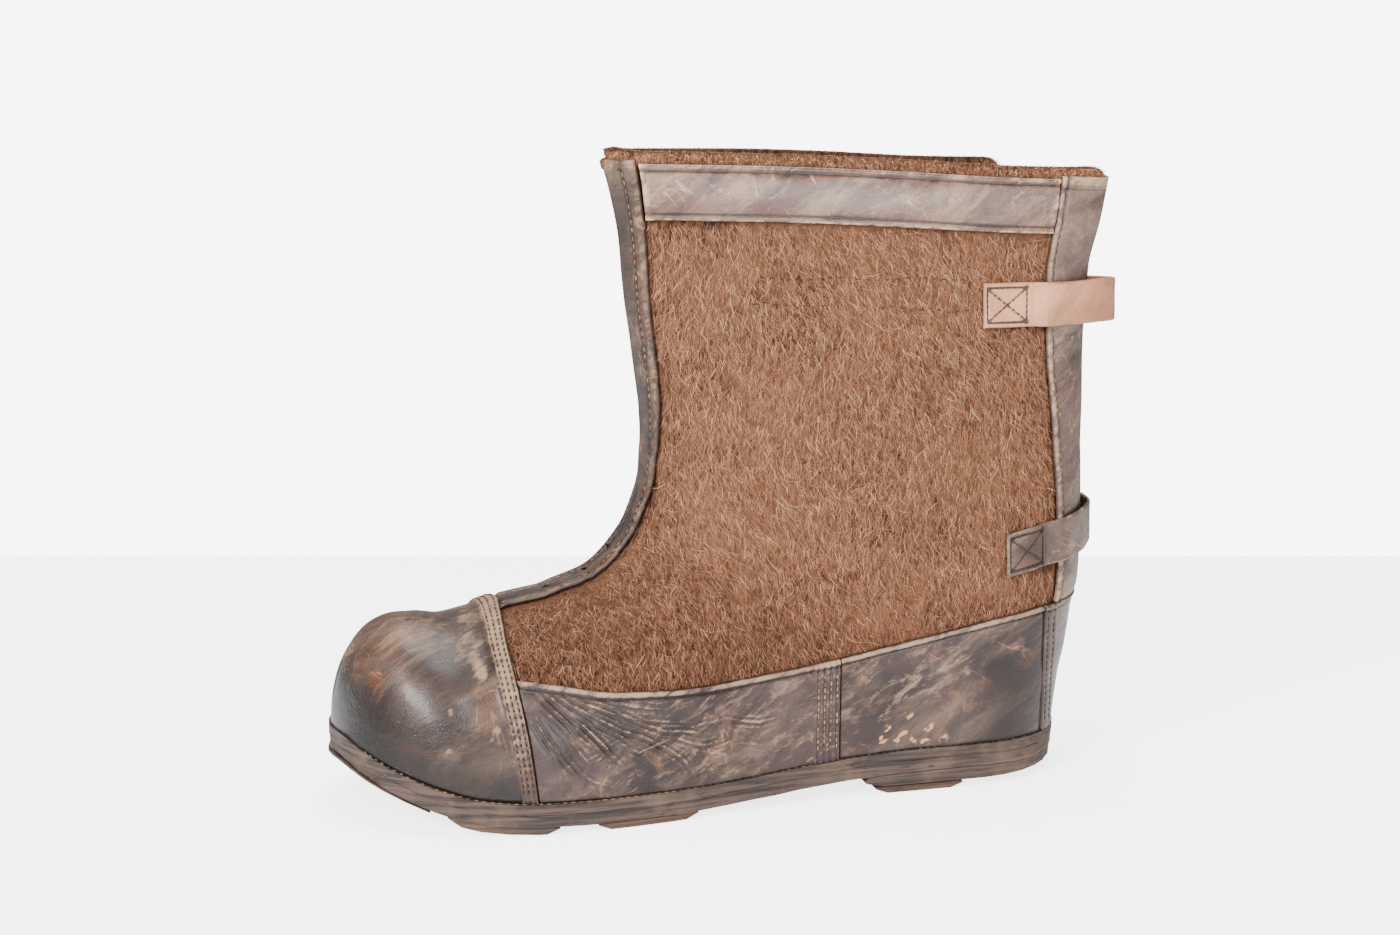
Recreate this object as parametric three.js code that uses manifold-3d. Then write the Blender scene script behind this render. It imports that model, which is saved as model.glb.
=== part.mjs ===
// A winter boot of thick hair felt with leather round the foot and along every edge.
// Two felt side panels meet under a leather strip down the front. At the back their edges are
// bound with leather and stay apart above the heel counter, bridged by two leather loops.
// The foot has a domed leather toe cap, a leather rand in two pieces a side and a heel counter.
// It stands on a stitched leather midsole and outsole, a heel lift, three tread bars and a toe plate.
// Left boot, toe towards -X, outer side towards -Y, up is +Z. The origin is on the floor, under
// the middle of the heel's tread bar. Millimetres throughout.
import * as THREE from "three";
import { mergeVertices } from "three/addons/utils/BufferGeometryUtils.js";
import Module from "manifold-3d";

const wasm = await Module();
wasm.setup();

// Driving dimensions of the last and the shaft
const footLength = 341; // toe tip to heel back at the feather line
const heelBack = 77; // origin to the heel back at the feather line
const ballWidth = 122;
const heelWidth = 92;
const collarHeight = 296; // floor to the felt rim at the front
const collarDrop = 10; // how much lower the rim is at its back corners
const shaftDepth = 226; // front fold to back edge at the collar
const slitRoot = 88; // floor to the foot of the back slit, just above the heel counter
const slitHalfWidth = 35; // half the gap between the back edges at the collar
const pivotHeight = 185; // height where the sections of the shaft become level
const pivotFromToe = 95; // toe tip to the plane where the sections of the foot end
const footRise = 0.868 * footLength; // heights on the foot are shares of it, as a foot is in proportion

// Walls and gaps
const feltWall = 5;
const leather = 2;
const gap = 0.3; // clearance between pieces that touch
const seamStep = 1.3; // extra thickness where leather is folded or lapped at a seam
const beadStep = 0.7; // rise of the rolled edges
const beadWidth = 2.6;

// Leather trim
const bindingWidth = 22;
const collarBandHeight = 25.5;
const rimAboveBand = 5;
const rimAboveBinding = 4;
const capSeamWidth = 7.5;
const sideSeamWidth = 13;

// Bottom
const midsoleThickness = 4.8;
const outsoleThickness = 5.6;
const insoleThickness = 2.5;
const treadThickness = 3; // tread bars, and the air under the outsole at the ball
const soleReach = 4.2; // how far the sole stands out from the felt at the toe
const toePlateThickness = 2;

// Straps across the back slit
const upperStrapWidth = 20.5;
const upperStrapHeight = collarHeight - 71;
const lowerStrapWidth = 20;
const lowerStrapHeight = 112;

// Places along the foot, as shares of the length from toe tip to heel back
const toeTipRounding = 0.09;
const toePlanRounding = 0.23;
const heelPlanRounding = 0.135;

const toeX = heelBack - footLength;
const alongFoot = (share) => toeX + share * footLength;
const shareOf = (x) => (x - toeX) / footLength;

// A smooth curve without overshoot through the rows [place, value, ...] of a table.
function curveThrough(rows, column = 1) {
  const xs = rows.map((row) => row[0]);
  const ys = rows.map((row) => row[column]);
  const steps = xs.slice(1).map((x, i) => (ys[i + 1] - ys[i]) / (x - xs[i]));
  const slopes = xs.map((x, i) => {
    if (i === 0) return steps[0];
    if (i === xs.length - 1) return steps[i - 1];
    if (steps[i - 1] * steps[i] <= 0) return 0;
    return (2 * steps[i - 1] * steps[i]) / (steps[i - 1] + steps[i]);
  });
  return (x) => {
    if (x <= xs[0]) return ys[0];
    if (x >= xs[xs.length - 1]) return ys[xs.length - 1];
    let i = 0;
    while (x > xs[i + 1]) i++;
    const width = xs[i + 1] - xs[i];
    const t = (x - xs[i]) / width;
    const h = t * t * (3 - 2 * t);
    return (
      ys[i] * (1 - h) +
      ys[i + 1] * h +
      width * t * (1 - t) * ((1 - t) * slopes[i] - t * slopes[i + 1])
    );
  };
}

const clamp = (value, low, high) => Math.min(high, Math.max(low, value));
const mix = (a, b, t) => a + (b - a) * t;
const smoothstep = (low, high, value) => {
  const t = clamp((value - low) / (high - low), 0, 1);
  return t * t * (3 - 2 * t);
};

// Rises from 0 at the edge to 1 at a depth of one, round like an ellipse for power 2.
const rounded = (depth, power) =>
  Math.pow(1 - Math.pow(1 - clamp(depth, 0, 1), power), 1 / power);

// Feather line, the edge where the upper meets the sole: share of length, share of the foot's rise
const featherLine = curveThrough([
  [0.0, 0.129],
  [0.031, 0.11],
  [0.069, 0.09],
  [0.113, 0.071],
  [0.172, 0.055],
  [0.245, 0.0485],
  [0.333, 0.048],
  [0.45, 0.0485],
  [0.527, 0.0525],
  [0.6, 0.0585],
  [0.69, 0.0655],
  [0.79, 0.0695],
  [1.0, 0.0705],
]);
const featherZ = (x) => featherLine(shareOf(x)) * footRise;

// Top of the toe and the vamp on the centre line: share of length, share of the foot's rise
const vampLine = curveThrough([
  [0.0, 0.293],
  [0.08, 0.2936],
  [0.107, 0.2915],
  [0.141, 0.284],
  [0.1745, 0.2905],
  [0.22, 0.306],
  [0.2786, 0.318],
]);
const vampZ = (x) => {
  const tip = featherZ(toeX);
  const rise = rounded(shareOf(x) / toeTipRounding, 2);
  return tip + (vampLine(shareOf(x)) * footRise - tip) * rise;
};

// Instep round the pivot in front of it: share of the quarter turn, radius as a share of the last one
const pivotX = toeX + pivotFromToe;
const pivotZ = pivotHeight;
const instepLine = curveThrough([
  [0.0, 1.88],
  [0.061, 1.822],
  [0.171, 1.762],
  [0.252, 1.677],
  [0.319, 1.594],
  [0.384, 1.518],
  [0.457, 1.416],
  [0.55, 1.311],
  [0.697, 1.149],
  [0.885, 1.033],
  [1.0, 1.0],
]);
// The radius of the instep follows from the vamp's height under the pivot.
const instepRadius = (turn) => {
  const lowest = pivotZ - vampZ(pivotX);
  return (instepLine(turn) / instepLine(0)) * lowest;
};

// Front fold of the shaft: share of the way from pivot height to collar, share of the shaft's depth
const frontLean = curveThrough([
  [0.0, 0.0],
  [0.215, 0.013],
  [0.41, 0.0265],
  [0.645, 0.037],
  [0.84, 0.055],
  [1.0, 0.077],
]);
const upShaft = (z) => clamp((z - pivotZ) / (collarHeight - pivotZ), 0, 1.1);
const frontX = (z) =>
  pivotX + instepRadius(1) - frontLean(Math.min(1, upShaft(z))) * shaftDepth;

// Back edge: share of collar height, distance behind the heel back as a share of shaft depth,
// how much the inner panel stops short of it, and half the slit as a share of its width at the top
const backRows = [
  [0.0725, 0.0, 0.0, 0.0],
  [0.15, 0.011, 0.0, 0.0],
  [0.216, 0.029, 0.0, 0.0],
  [slitRoot / collarHeight, 0.0455, 0.0, 0.0],
  [0.3, 0.047, 0.0, 0.085],
  [0.36, 0.052, 0.0, 0.17],
  [0.44, 0.051, 0.0, 0.27],
  [0.58, 0.037, 0.02, 0.52],
  [0.72, 0.022, 0.05, 0.72],
  [0.81, 0.021, 0.07, 0.83],
  [0.89, 0.038, 0.095, 0.93],
  [1.0, 0.058, 0.12, 1.0],
];
const backLine = curveThrough(backRows, 1);
const backShort = curveThrough(backRows, 2);
const slitLine = curveThrough(backRows, 3);
const backX = (z, side) => {
  const share = z / collarHeight;
  const short = side > 0 ? backShort(share) : 0;
  return heelBack + (backLine(share) - short) * shaftDepth;
};
const slitY = (z) => slitLine(z / collarHeight) * slitHalfWidth;

// Rim of the collar: share of the way from front to back, rise above the front height
const rimRise = curveThrough([
  [0.0, 0.0],
  [0.33, -0.2],
  [0.55, -0.45],
  [0.78, -0.8],
  [1.0, -1.0],
]);
const rimZ = (share) => collarHeight + rimRise(share) * collarDrop;

// Plan of the foot at the feather line, without its round ends: share of length,
// outer and inner half width as shares of the ball width
const planRows = [
  [0.0, 0.475, 0.475],
  [0.2, 0.492, 0.488],
  [0.29, 0.5, 0.5],
  [0.4, 0.478, 0.468],
  [0.52, 0.425, 0.4],
  [0.64, 0.389, 0.37],
  [0.75, 0.377, 0.377],
  [1.0, 0.377, 0.377],
];
const planOuter = curveThrough(planRows, 1);
const planInner = curveThrough(planRows, 2);
const heelPlanShare = (heelWidth / ballWidth) * 0.5;
const planBase = (x, side) => {
  const share = shareOf(x);
  const table = side < 0 ? planOuter(share) : planInner(share);
  const heel = smoothstep(0.6, 0.75, share);
  return mix(table, heelPlanShare, heel) * ballWidth;
};
// The toe bends a little towards the inner side.
const toeSwing = 5;
const centreY = (x) => toeSwing * Math.pow(clamp(1 - shareOf(x) / 0.42, 0, 1), 2);

// Half width of the shaft: share of collar height, then near the front fold, in the middle and
// at the back, as shares of the heel width
const shaftRows = [
  [0.3, 0.4, 0.56, 0.5],
  [0.44, 0.31, 0.49, 0.44],
  [0.62, 0.21, 0.42, 0.41],
  [0.81, 0.13, 0.345, 0.405],
  [1.0, 0.09, 0.275, 0.41],
];
const shaftFront = curveThrough(shaftRows, 1);
const shaftMiddle = curveThrough(shaftRows, 2);
const shaftBack = curveThrough(shaftRows, 3);
const shaftBase = (x, z, side) => {
  const front = frontX(Math.max(z, pivotZ));
  const t = clamp((x - front) / (backX(z, side) - front), 0, 1);
  const share = z / collarHeight;
  const a = shaftFront(share);
  const b = shaftMiddle(share);
  const c = shaftBack(share);
  const middle = 2 * b - (a + c) / 2;
  return (a * (1 - t) ** 2 + 2 * t * (1 - t) * middle + c * t * t) * heelWidth;
};

// How deep the round of the toe, vamp and front fold goes: along the foot, round the instep,
// up the shaft
const archFoot = curveThrough([
  [0.0, 0.17],
  [0.1, 0.19],
  [0.2, 0.19],
  [0.2786, 0.18],
]);
const archInstep = curveThrough([
  [0.0, 0.18],
  [0.3, 0.15],
  [0.65, 0.1],
  [1.0, 0.07],
]);
const archShaft = curveThrough([
  [0.0, 0.07],
  [0.5, 0.045],
  [1.0, 0.034],
]);
const archPower = 2.1;
const heelPower = 2.2;

// Depth below the top or behind the front fold, as a share of the round's depth
function frontDepth(x, z) {
  if (x < pivotX) return (vampZ(x) - z) / (archFoot(shareOf(x)) * footLength);
  if (z > pivotZ) {
    return (x - frontX(z)) / (archShaft(Math.min(1, upShaft(z))) * footLength);
  }
  const turn = 1 - Math.atan2(pivotZ - z, x - pivotX) / (Math.PI / 2);
  const radius = Math.hypot(pivotZ - z, x - pivotX);
  return (radius - instepRadius(turn)) / (archInstep(turn) * footLength);
}

// Half width of the felt's outer face at a place in the side view. side is -1 outer, 1 inner.
function halfWidth(x, z, side) {
  const upLeg = smoothstep(0.2, 0.42, z / collarHeight);
  const base = mix(planBase(x, side), shaftBase(x, z, side), upLeg);
  const toe = rounded(shareOf(x) / toePlanRounding, 2.15);
  const arch = rounded(frontDepth(x, z), archPower);
  const body = base * toe * arch;
  // At the slit the round of the back is cut off where it is as wide as the slit.
  const open = clamp(slitY(z) / Math.max(body, 1), 0, 0.98);
  const cutOff = 1 - Math.pow(1 - Math.pow(open, heelPower), 1 / heelPower);
  const depth = (backX(z, side) - x) / (heelPlanRounding * footLength);
  return body * rounded(cutOff + depth, heelPower);
}

// A point of the felt's outer face, or offset from it along its normal.
const nudge = 0.02;
function skin(x, z, side, offset = 0) {
  const depth = frontDepth(x, z) * footLength;
  const y = halfWidth(x, z, side);
  const point = new THREE.Vector3(x, centreY(x) + side * y, z);
  if (offset === 0) return point;
  // The slope is read a hair inside the outline, where the rounds have a finite one.
  const inX = x < pivotX ? Math.max(x, toeX + 2 * nudge) : x;
  const probe = [
    clamp(inX, toeX + 2 * nudge, backX(z, side) - 2 * nudge),
    z,
  ];
  if (depth < 2 * nudge) {
    const [dx, dz] = inward(x, z);
    probe[0] += dx * 2 * nudge;
    probe[1] += dz * 2 * nudge;
  }
  const w = (dx, dz) => halfWidth(probe[0] + dx, probe[1] + dz, side);
  const slopeX = (w(nudge, 0) - w(-nudge, 0)) / (2 * nudge);
  const slopeZ = (w(0, nudge) - w(0, -nudge)) / (2 * nudge);
  const normal = new THREE.Vector3(-slopeX, side, -slopeZ);
  if (y < 1e-6) normal.y = 0;
  return point.addScaledVector(normal.normalize(), offset);
}

// Direction into the boot from a place on its front or top outline
function inward(x, z) {
  if (x < pivotX) return [0, -1];
  if (z > pivotZ) return [1, 0];
  const radius = Math.hypot(x - pivotX, z - pivotZ);
  return [(x - pivotX) / radius, (z - pivotZ) / radius];
}

// The last row of a section: where a ray from the pivot leaves the boot at the sole or the back
function rayEnd(turn, side, floorGap) {
  const angle = (1 - turn) * (Math.PI / 2);
  const dx = Math.cos(angle);
  const dz = -Math.sin(angle);
  let near = instepRadius(turn);
  let far = footLength;
  for (let i = 0; i < 50; i++) {
    const r = (near + far) / 2;
    const x = pivotX + dx * r;
    const z = pivotZ + dz * r;
    const inside = x < backX(z, side) && z > featherZ(Math.min(x, heelBack)) + floorGap;
    if (inside) near = r;
    else far = r;
  }
  return [pivotX + dx * near, pivotZ + dz * near];
}
const turnTo = (x, z) => 1 - Math.atan2(pivotZ - z, x - pivotX) / (Math.PI / 2);

// Sections of the whole upper, from the toe tip to the collar. Each one is the pair of ends of a
// straight line in the side view, for either side.
const footRows = 13;
const waistRows = 5;
const heelPlanRows = 5;
const heelRows = 3;
const instepRowsAbove = 4;
const shaftRowCount = 6;
function sections() {
  const rows = [];
  for (let i = 0; i <= footRows; i++) {
    const share = 1 - Math.cos(((i / footRows) * Math.PI) / 2);
    const x = mix(toeX, pivotX, mix(share, i / footRows, 0.35 * (i / footRows)));
    const bottom = featherZ(x) + gap;
    rows.push({
      ends: () => [[x, i === 0 ? bottom : vampZ(x)], [x, bottom]],
      tip: i === 0,
      closed: i === 0,
      backRow: 0,
    });
  }
  const heelTurn = turnTo(heelBack, featherZ(heelBack) + gap);
  const slitTurn = turnTo(backX(slitRoot, -1), slitRoot);
  const fan = (turn, closed, backRow, corner) => {
    rows.push({
      ends: (side) => {
        const angle = (1 - turn) * (Math.PI / 2);
        const r = instepRadius(turn);
        const start = [pivotX + r * Math.cos(angle), pivotZ - r * Math.sin(angle)];
        return [start, corner ?? rayEnd(turn, side, gap)];
      },
      turn,
      closed,
      backRow,
    });
  };
  const heelRound = heelPlanRounding * footLength;
  const heelStart = heelBack - heelRound;
  for (let i = 1; i < waistRows + heelPlanRows; i++) {
    const round = (i - waistRows) / heelPlanRows;
    const x =
      i <= waistRows
        ? mix(pivotX, heelStart, i / waistRows)
        : heelStart + heelRound * Math.sin((round * Math.PI) / 2);
    fan(turnTo(x, featherZ(x) + gap), false, Math.min(1, i / (waistRows + 1)));
  }
  for (let i = 0; i <= heelRows; i++) {
    const turn = mix(heelTurn, slitTurn, i / heelRows);
    const corner =
      i === 0
        ? [heelBack, featherZ(heelBack) + gap]
        : i === heelRows
          ? [backX(slitRoot, -1), slitRoot]
          : null;
    fan(turn, true, 1, corner);
  }
  const bindingFoot = slitRoot + 4;
  const bindingTurn = turnTo(backX(bindingFoot, -1), bindingFoot);
  for (let i = 0; i < instepRowsAbove; i++) {
    fan(mix(bindingTurn, 1, i / instepRowsAbove), false, 1);
    if (i === 0) rows[rows.length - 1].bindingFoot = true;
  }
  for (let i = 0; i <= shaftRowCount; i++) {
    rows.push({
      ends: (side) => {
        const up = i / shaftRowCount;
        const frontZ = mix(pivotZ, rimZ(0), up);
        const backZ = mix(pivotZ, rimZ(1), up);
        return [[frontX(frontZ), frontZ], [backX(backZ, side), backZ]];
      },
      collar: i / shaftRowCount,
      closed: false,
      backRow: 1,
    });
  }
  return rows;
}

// A place on a section: across runs from 0 on the centre line to 1 at the sole or the back edge.
function onSection(row, across, side) {
  const [start, end] = row.ends(side);
  const single = 1 - Math.cos((across * Math.PI) / 2);
  const double = (1 - Math.cos(across * Math.PI)) / 2;
  const share = mix(single, double, row.backRow);
  const x = mix(start[0], end[0], share);
  let z = mix(start[1], end[1], share);
  if (row.collar > 0) {
    z += row.collar * (rimZ(share) - mix(rimZ(0), rimZ(1), share));
  }
  return [x, z];
}

// A closed solid between two grids of points, outer and inner. Each grid is an array of rows.
// closedEnd(i) says that the first and last column of row i are the same line. The diagonals of
// the facets are mirrored about the middle column, so both sides of the boot come out alike.
function shellSolid(outer, inner, closedEnd = () => false) {
  const positions = [];
  const quad = (a, b, c, d) => {
    for (const p of [a, b, c, a, c, d]) positions.push(p.x, p.y, p.z);
  };
  const rows = outer.length - 1;
  const columns = outer[0].length - 1;
  for (let i = 0; i < rows; i++) {
    for (let j = 0; j < columns; j++) {
      const out = [outer[i][j], outer[i + 1][j], outer[i + 1][j + 1], outer[i][j + 1]];
      const back = [inner[i][j + 1], inner[i + 1][j + 1], inner[i + 1][j], inner[i][j]];
      if (j < columns / 2) {
        quad(...out);
        quad(back[3], back[0], back[1], back[2]);
      } else {
        quad(out[1], out[2], out[3], out[0]);
        quad(...back);
      }
    }
    if (!(closedEnd(i) && closedEnd(i + 1))) {
      quad(inner[i][0], inner[i + 1][0], outer[i + 1][0], outer[i][0]);
      quad(outer[i][columns], outer[i + 1][columns], inner[i + 1][columns], inner[i][columns]);
    }
  }
  for (let j = 0; j < columns; j++) {
    quad(outer[0][j], outer[0][j + 1], inner[0][j + 1], inner[0][j]);
    quad(inner[rows][j], inner[rows][j + 1], outer[rows][j + 1], outer[rows][j]);
  }
  return solidFrom(positions);
}

// A list of triangle corners becomes a solid, with its faces turned outwards.
function solidFrom(positions) {
  const loose = new THREE.BufferGeometry();
  loose.setAttribute("position", new THREE.Float32BufferAttribute(positions, 3));
  const merged = mergeVertices(loose, 1e-3);
  const index = [];
  const old = merged.index.array;
  for (let i = 0; i < old.length; i += 3) {
    const [a, b, c] = [old[i], old[i + 1], old[i + 2]];
    if (a !== b && b !== c && c !== a) index.push(a, b, c);
  }
  const build = (triVerts) =>
    new wasm.Manifold(
      new wasm.Mesh({
        numProp: 3,
        vertProperties: merged.attributes.position.array,
        triVerts: new Uint32Array(triVerts),
      }),
    );
  const solid = build(index);
  if (solid.volume() > 0) return solid;
  for (let i = 0; i < index.length; i += 3) {
    [index[i + 1], index[i + 2]] = [index[i + 2], index[i + 1]];
  }
  return build(index);
}

// Faces of the boot at a distance outside the felt's outer face, as a grid from the outer side's
// edge over the ridge to the inner side's edge. past carries the grid on beyond the slit's edges.
const acrossCount = 13;
const rows = sections();
function face(offset, past = 0, from = 0) {
  return rows.slice(from).map((row) => {
    const line = [];
    for (let j = -acrossCount; j <= acrossCount; j++) {
      const side = j < 0 ? -1 : 1;
      const [x, z] = onSection(row, Math.abs(j) / acrossCount, side);
      if (row.tip) {
        line.push(new THREE.Vector3(toeX - offset, centreY(toeX), z));
        continue;
      }
      const point = skin(x, z, side, offset);
      if (j === 0) point.y = centreY(x);
      if (row.closed && Math.abs(j) === acrossCount) point.y = centreY(x);
      point.z = Math.max(point.z, featherZ(clamp(point.x, toeX, heelBack)) + gap);
      line.push(point);
    }
    if (past > 0) {
      const last = line.length - 1;
      const beyond = (edge, before) =>
        edge.clone().addScaledVector(edge.clone().sub(before).normalize(), past);
      line.unshift(beyond(line[0], line[1]));
      line.push(beyond(line[last + 1], line[last]));
    }
    return line;
  });
}
const layer = (low, high) => shellSolid(face(high), face(low), (i) => rows[i].closed);

// The felt of the whole boot: one wall, open at the collar, down the back slit and underneath
const upperSolid = layer(-feltWall, 0);

// A prism across the boot with an outline in the side view. side picks half of the boot, 0 both.
const clearOfMiddle = 0.2;
function sidePrism(outline, side = 0) {
  const shape = new THREE.Shape(outline.map(([x, z]) => new THREE.Vector2(x, z)));
  const reach = side === 0 ? 2 * ballWidth : ballWidth;
  const solid = new THREE.ExtrudeGeometry(shape, { depth: reach, bevelEnabled: false });
  // The extrusion runs along +Z and is turned to run along -Y.
  solid.rotateX(Math.PI / 2);
  const ends = { "-1": -clearOfMiddle, 0: ballWidth, 1: ballWidth + clearOfMiddle };
  solid.translate(0, ends[side], 0);
  return solidFrom([...solid.attributes.position.array]);
}

// An outline between two edges given as functions of height, or of place along the foot
const stepsBetween = (from, to, steps) =>
  Array.from({ length: steps + 1 }, (_, i) => mix(from, to, i / steps));
function uprightBand(frontEdge, backEdge, low, high, steps = 8) {
  const heights = stepsBetween(low, high, steps);
  const front = heights.map((z) => [frontEdge(z), z]);
  const back = heights.map((z) => [backEdge(z), z]);
  return [...front, ...back.reverse()];
}
function levelBand(lowEdge, highEdge, from, to, steps = 12) {
  const places = stepsBetween(from, to, steps);
  const lower = places.map((x) => [x, lowEdge(x)]);
  const upper = places.map((x) => [x, highEdge(x)]);
  return [...lower, ...upper.reverse()];
}

// Rear edge of the toe cap: share of the foot's rise, share of length
const capEdgeLine = curveThrough([
  [0.0, 0.242],
  [0.1, 0.2317],
  [0.162, 0.225],
  [0.22, 0.218],
  [0.265, 0.2145],
  [0.297, 0.217],
  [0.318, 0.226],
  [0.4, 0.236],
]);
const capEdge = (z) => alongFoot(capEdgeLine(z / footRise));

// Top edge of the rand: share of length, share of the foot's rise
const randTopLine = curveThrough([
  [0.2, 0.227],
  [0.268, 0.2176],
  [0.347, 0.2071],
  [0.46, 0.206],
  [0.543, 0.2122],
  [0.642, 0.224],
  [0.741, 0.2432],
  [0.8836, 0.274],
  [0.95, 0.286],
  [1.03, 0.292],
]);
const randTop = (x) => randTopLine(shareOf(x)) * footRise;

// Side seam of the rand and front edge of the counter: share of the foot's rise, share of length
const sideSeamLine = curveThrough([
  [0.05, 0.617],
  [0.23, 0.618],
]);
const sideSeam = (z) => alongFoot(sideSeamLine(z / footRise));
const counterEdgeLine = curveThrough([
  [0.07, 0.955],
  [0.29, 0.948],
]);
const counterEdge = (z) => alongFoot(counterEdgeLine(z / footRise));

// Leather over the felt: one thickness, with a step where it is lapped or rolled
const leatherOver = layer(gap, gap + leather);
const lappedOver = layer(gap + leather / 2, gap + leather + seamStep);
const beadOver = layer(gap + leather / 2, gap + leather + beadStep);
const below = 0;
const above = 0.5 * footRise;
const inFront = toeX - 20;
const behind = heelBack + 40;
const cut = (solid, outline, side) => solid.intersect(sidePrism(outline, side));

const toeCap = cut(leatherOver, uprightBand(() => inFront, capEdge, below, above)).add(
  cut(lappedOver, uprightBand((z) => capEdge(z) - capSeamWidth, capEdge, below, above)),
);

function randFront(side) {
  const back = (z) => sideSeam(z) + sideSeamWidth;
  // The leather runs from the toe cap to the far side of the lap.
  const region = uprightBand((z) => capEdge(z) + gap, back, below, above);
  const low = levelBand(() => below, randTop, inFront, behind, 14);
  const bead = levelBand((x) => randTop(x) - beadWidth, randTop, inFront, behind, 14);
  const lap = uprightBand(sideSeam, back, below, above);
  const whole = cut(leatherOver, low, side)
    .add(cut(beadOver, bead, side))
    .add(cut(cut(lappedOver, lap, side), low, side));
  return cut(whole, region, side);
}
function randRear(side) {
  const front = (z) => sideSeam(z) + sideSeamWidth + gap;
  const region = uprightBand(front, (z) => counterEdge(z) - gap, below, above);
  const low = levelBand(() => below, randTop, inFront, behind, 14);
  const bead = levelBand((x) => randTop(x) - beadWidth, randTop, inFront, behind, 14);
  return cut(cut(leatherOver, low, side).add(cut(beadOver, bead, side)), region, side);
}
const counterRegion = uprightBand(counterEdge, () => behind, below, above);
const counterLap = uprightBand(counterEdge, (z) => counterEdge(z) + 3 * beadWidth, below, above);
const heelCounter = cut(
  cut(leatherOver, counterRegion).add(cut(beadOver, counterLap)),
  levelBand(() => below, randTop, inFront, behind, 14),
);

// The strip over the front seam follows the same sections as the felt. Its edges lie at a depth
// behind the front fold: up the boot in rows, share of the foot, quarter turn or shaft.
const stripDepthFoot = () => 0.0045;
const stripDepthInstep = curveThrough([
  [0.0, 0.004],
  [0.3, 0.009],
  [0.65, 0.016],
  [1.0, 0.025],
]);
const stripDepthShaft = curveThrough([
  [0.0, 0.025],
  [0.4, 0.031],
  [0.65, 0.036],
  [0.9, 0.046],
  [1.0, 0.05],
]);
const stripColumns = 4;
const stripTopDrop = rimAboveBand * 0.7;
function stripFace(offset, edgeOffset) {
  const start = capEdge(0.36 * footRise) + gap;
  const grid = [];
  const addLine = (place, direction, depth) => {
    const line = [];
    for (let j = -stripColumns; j <= stripColumns; j++) {
      const side = j < 0 ? -1 : 1;
      const deep = depth * (j / stripColumns) ** 2;
      const x = place[0] + direction[0] * deep;
      const z = place[1] + direction[1] * deep;
      const rolled = Math.abs(j) >= stripColumns - 1;
      const point = skin(x, z, side, rolled ? edgeOffset : offset);
      if (j === 0) point.y = centreY(x);
      line.push(point);
    }
    grid.push(line);
  };
  addLine([start, vampZ(start)], [0, -1], stripDepthFoot() * shaftDepth);
  for (const row of rows) {
    const [front, back] = row.ends(-1);
    if (front[0] < start + 2 && row.backRow === 0) continue;
    const run = Math.hypot(back[0] - front[0], back[1] - front[1]);
    const direction = [(back[0] - front[0]) / run, (back[1] - front[1]) / run];
    let depth = stripDepthFoot() * shaftDepth;
    if (row.turn !== undefined) depth = stripDepthInstep(row.turn) * shaftDepth;
    if (row.collar !== undefined) depth = stripDepthShaft(row.collar) * shaftDepth;
    if (row.collar === 1) {
      const stop = rimZ(0) - stripTopDrop;
      addLine([frontX(stop), stop], direction, depth);
    } else {
      addLine(front, direction, depth);
    }
  }
  return grid;
}
const frontStrip = shellSolid(
  stripFace(gap + leather, gap + leather + beadStep),
  stripFace(gap, gap),
);

// Rim of the collar over a place in the side view
const rimOver = (x, side) => {
  const front = frontX(rimZ(0));
  return rimZ(clamp((x - front) / (backX(rimZ(1), side) - front), 0, 1));
};
const stripEdge = (z) => frontX(z) + stripDepthShaft(upShaft(z)) * shaftDepth;
const bindingEdge = (z, side) => backX(z, side) - bindingWidth;

// Collar bands run from the front strip to the binding of the back edge, rolled at both edges.
function collarBand(side) {
  const top = (x) => rimOver(x, side) - rimAboveBand;
  const bottom = (x) => top(x) - collarBandHeight;
  const low = 0.85 * collarHeight;
  const high = collarHeight + 5;
  const ends = uprightBand(
    (z) => stripEdge(z) + 2 * gap,
    (z) => bindingEdge(z, side) - gap,
    low,
    high,
    4,
  );
  const from = inFront;
  const region = (lowEdge, highEdge) => levelBand(lowEdge, highEdge, from, behind, 16);
  const band = cut(leatherOver, region(bottom, top), side)
    .add(cut(beadOver, region((x) => top(x) - beadWidth, top), side))
    .add(cut(beadOver, region(bottom, (x) => bottom(x) + beadWidth), side));
  return cut(band, ends, side);
}

// Bindings wrap the edges of the slit: outside, edge and inside, from the counter to the rim.
const bindingFrom = rows.findIndex((row) => row.bindingFoot);
function wrap(clear) {
  const outside = face(clear, clear, bindingFrom);
  const inside = face(-feltWall - clear, clear, bindingFrom);
  return shellSolid(outside, inside);
}
const bindingAll = wrap(gap + leather).subtract(wrap(gap));
const bindingRaised = wrap(gap + leather + beadStep).subtract(wrap(gap + leather / 2));
function backBinding(side) {
  const front = (z) => bindingEdge(z, side);
  const low = slitRoot;
  const high = collarHeight + 10;
  const region = uprightBand(front, () => behind, low, high, 10);
  const bead = uprightBand(front, (z) => front(z) + beadWidth, low, high, 10);
  // The folded part ends just above the section that it starts from.
  const [start, end] = rows[bindingFrom].ends(side);
  const foldFoot = (x) => mix(start[1], end[1], (x - start[0]) / (end[0] - start[0])) + 1;
  const top = (x) => rimOver(x, side) - rimAboveBinding;
  const folded = cut(
    cut(bindingAll, region, side).add(cut(bindingRaised, bead, side)),
    levelBand(foldFoot, top, 0, behind, 6),
    side,
  );
  // Below that it lies flat on the outside of the felt, down to the counter.
  const flat = levelBand(
    (x) => randTop(x) + gap,
    (x) => foldFoot(x) + 1,
    front(slitRoot),
    end[0] - gap,
    6,
  );
  return folded.add(cut(leatherOver, flat, side));
}

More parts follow.
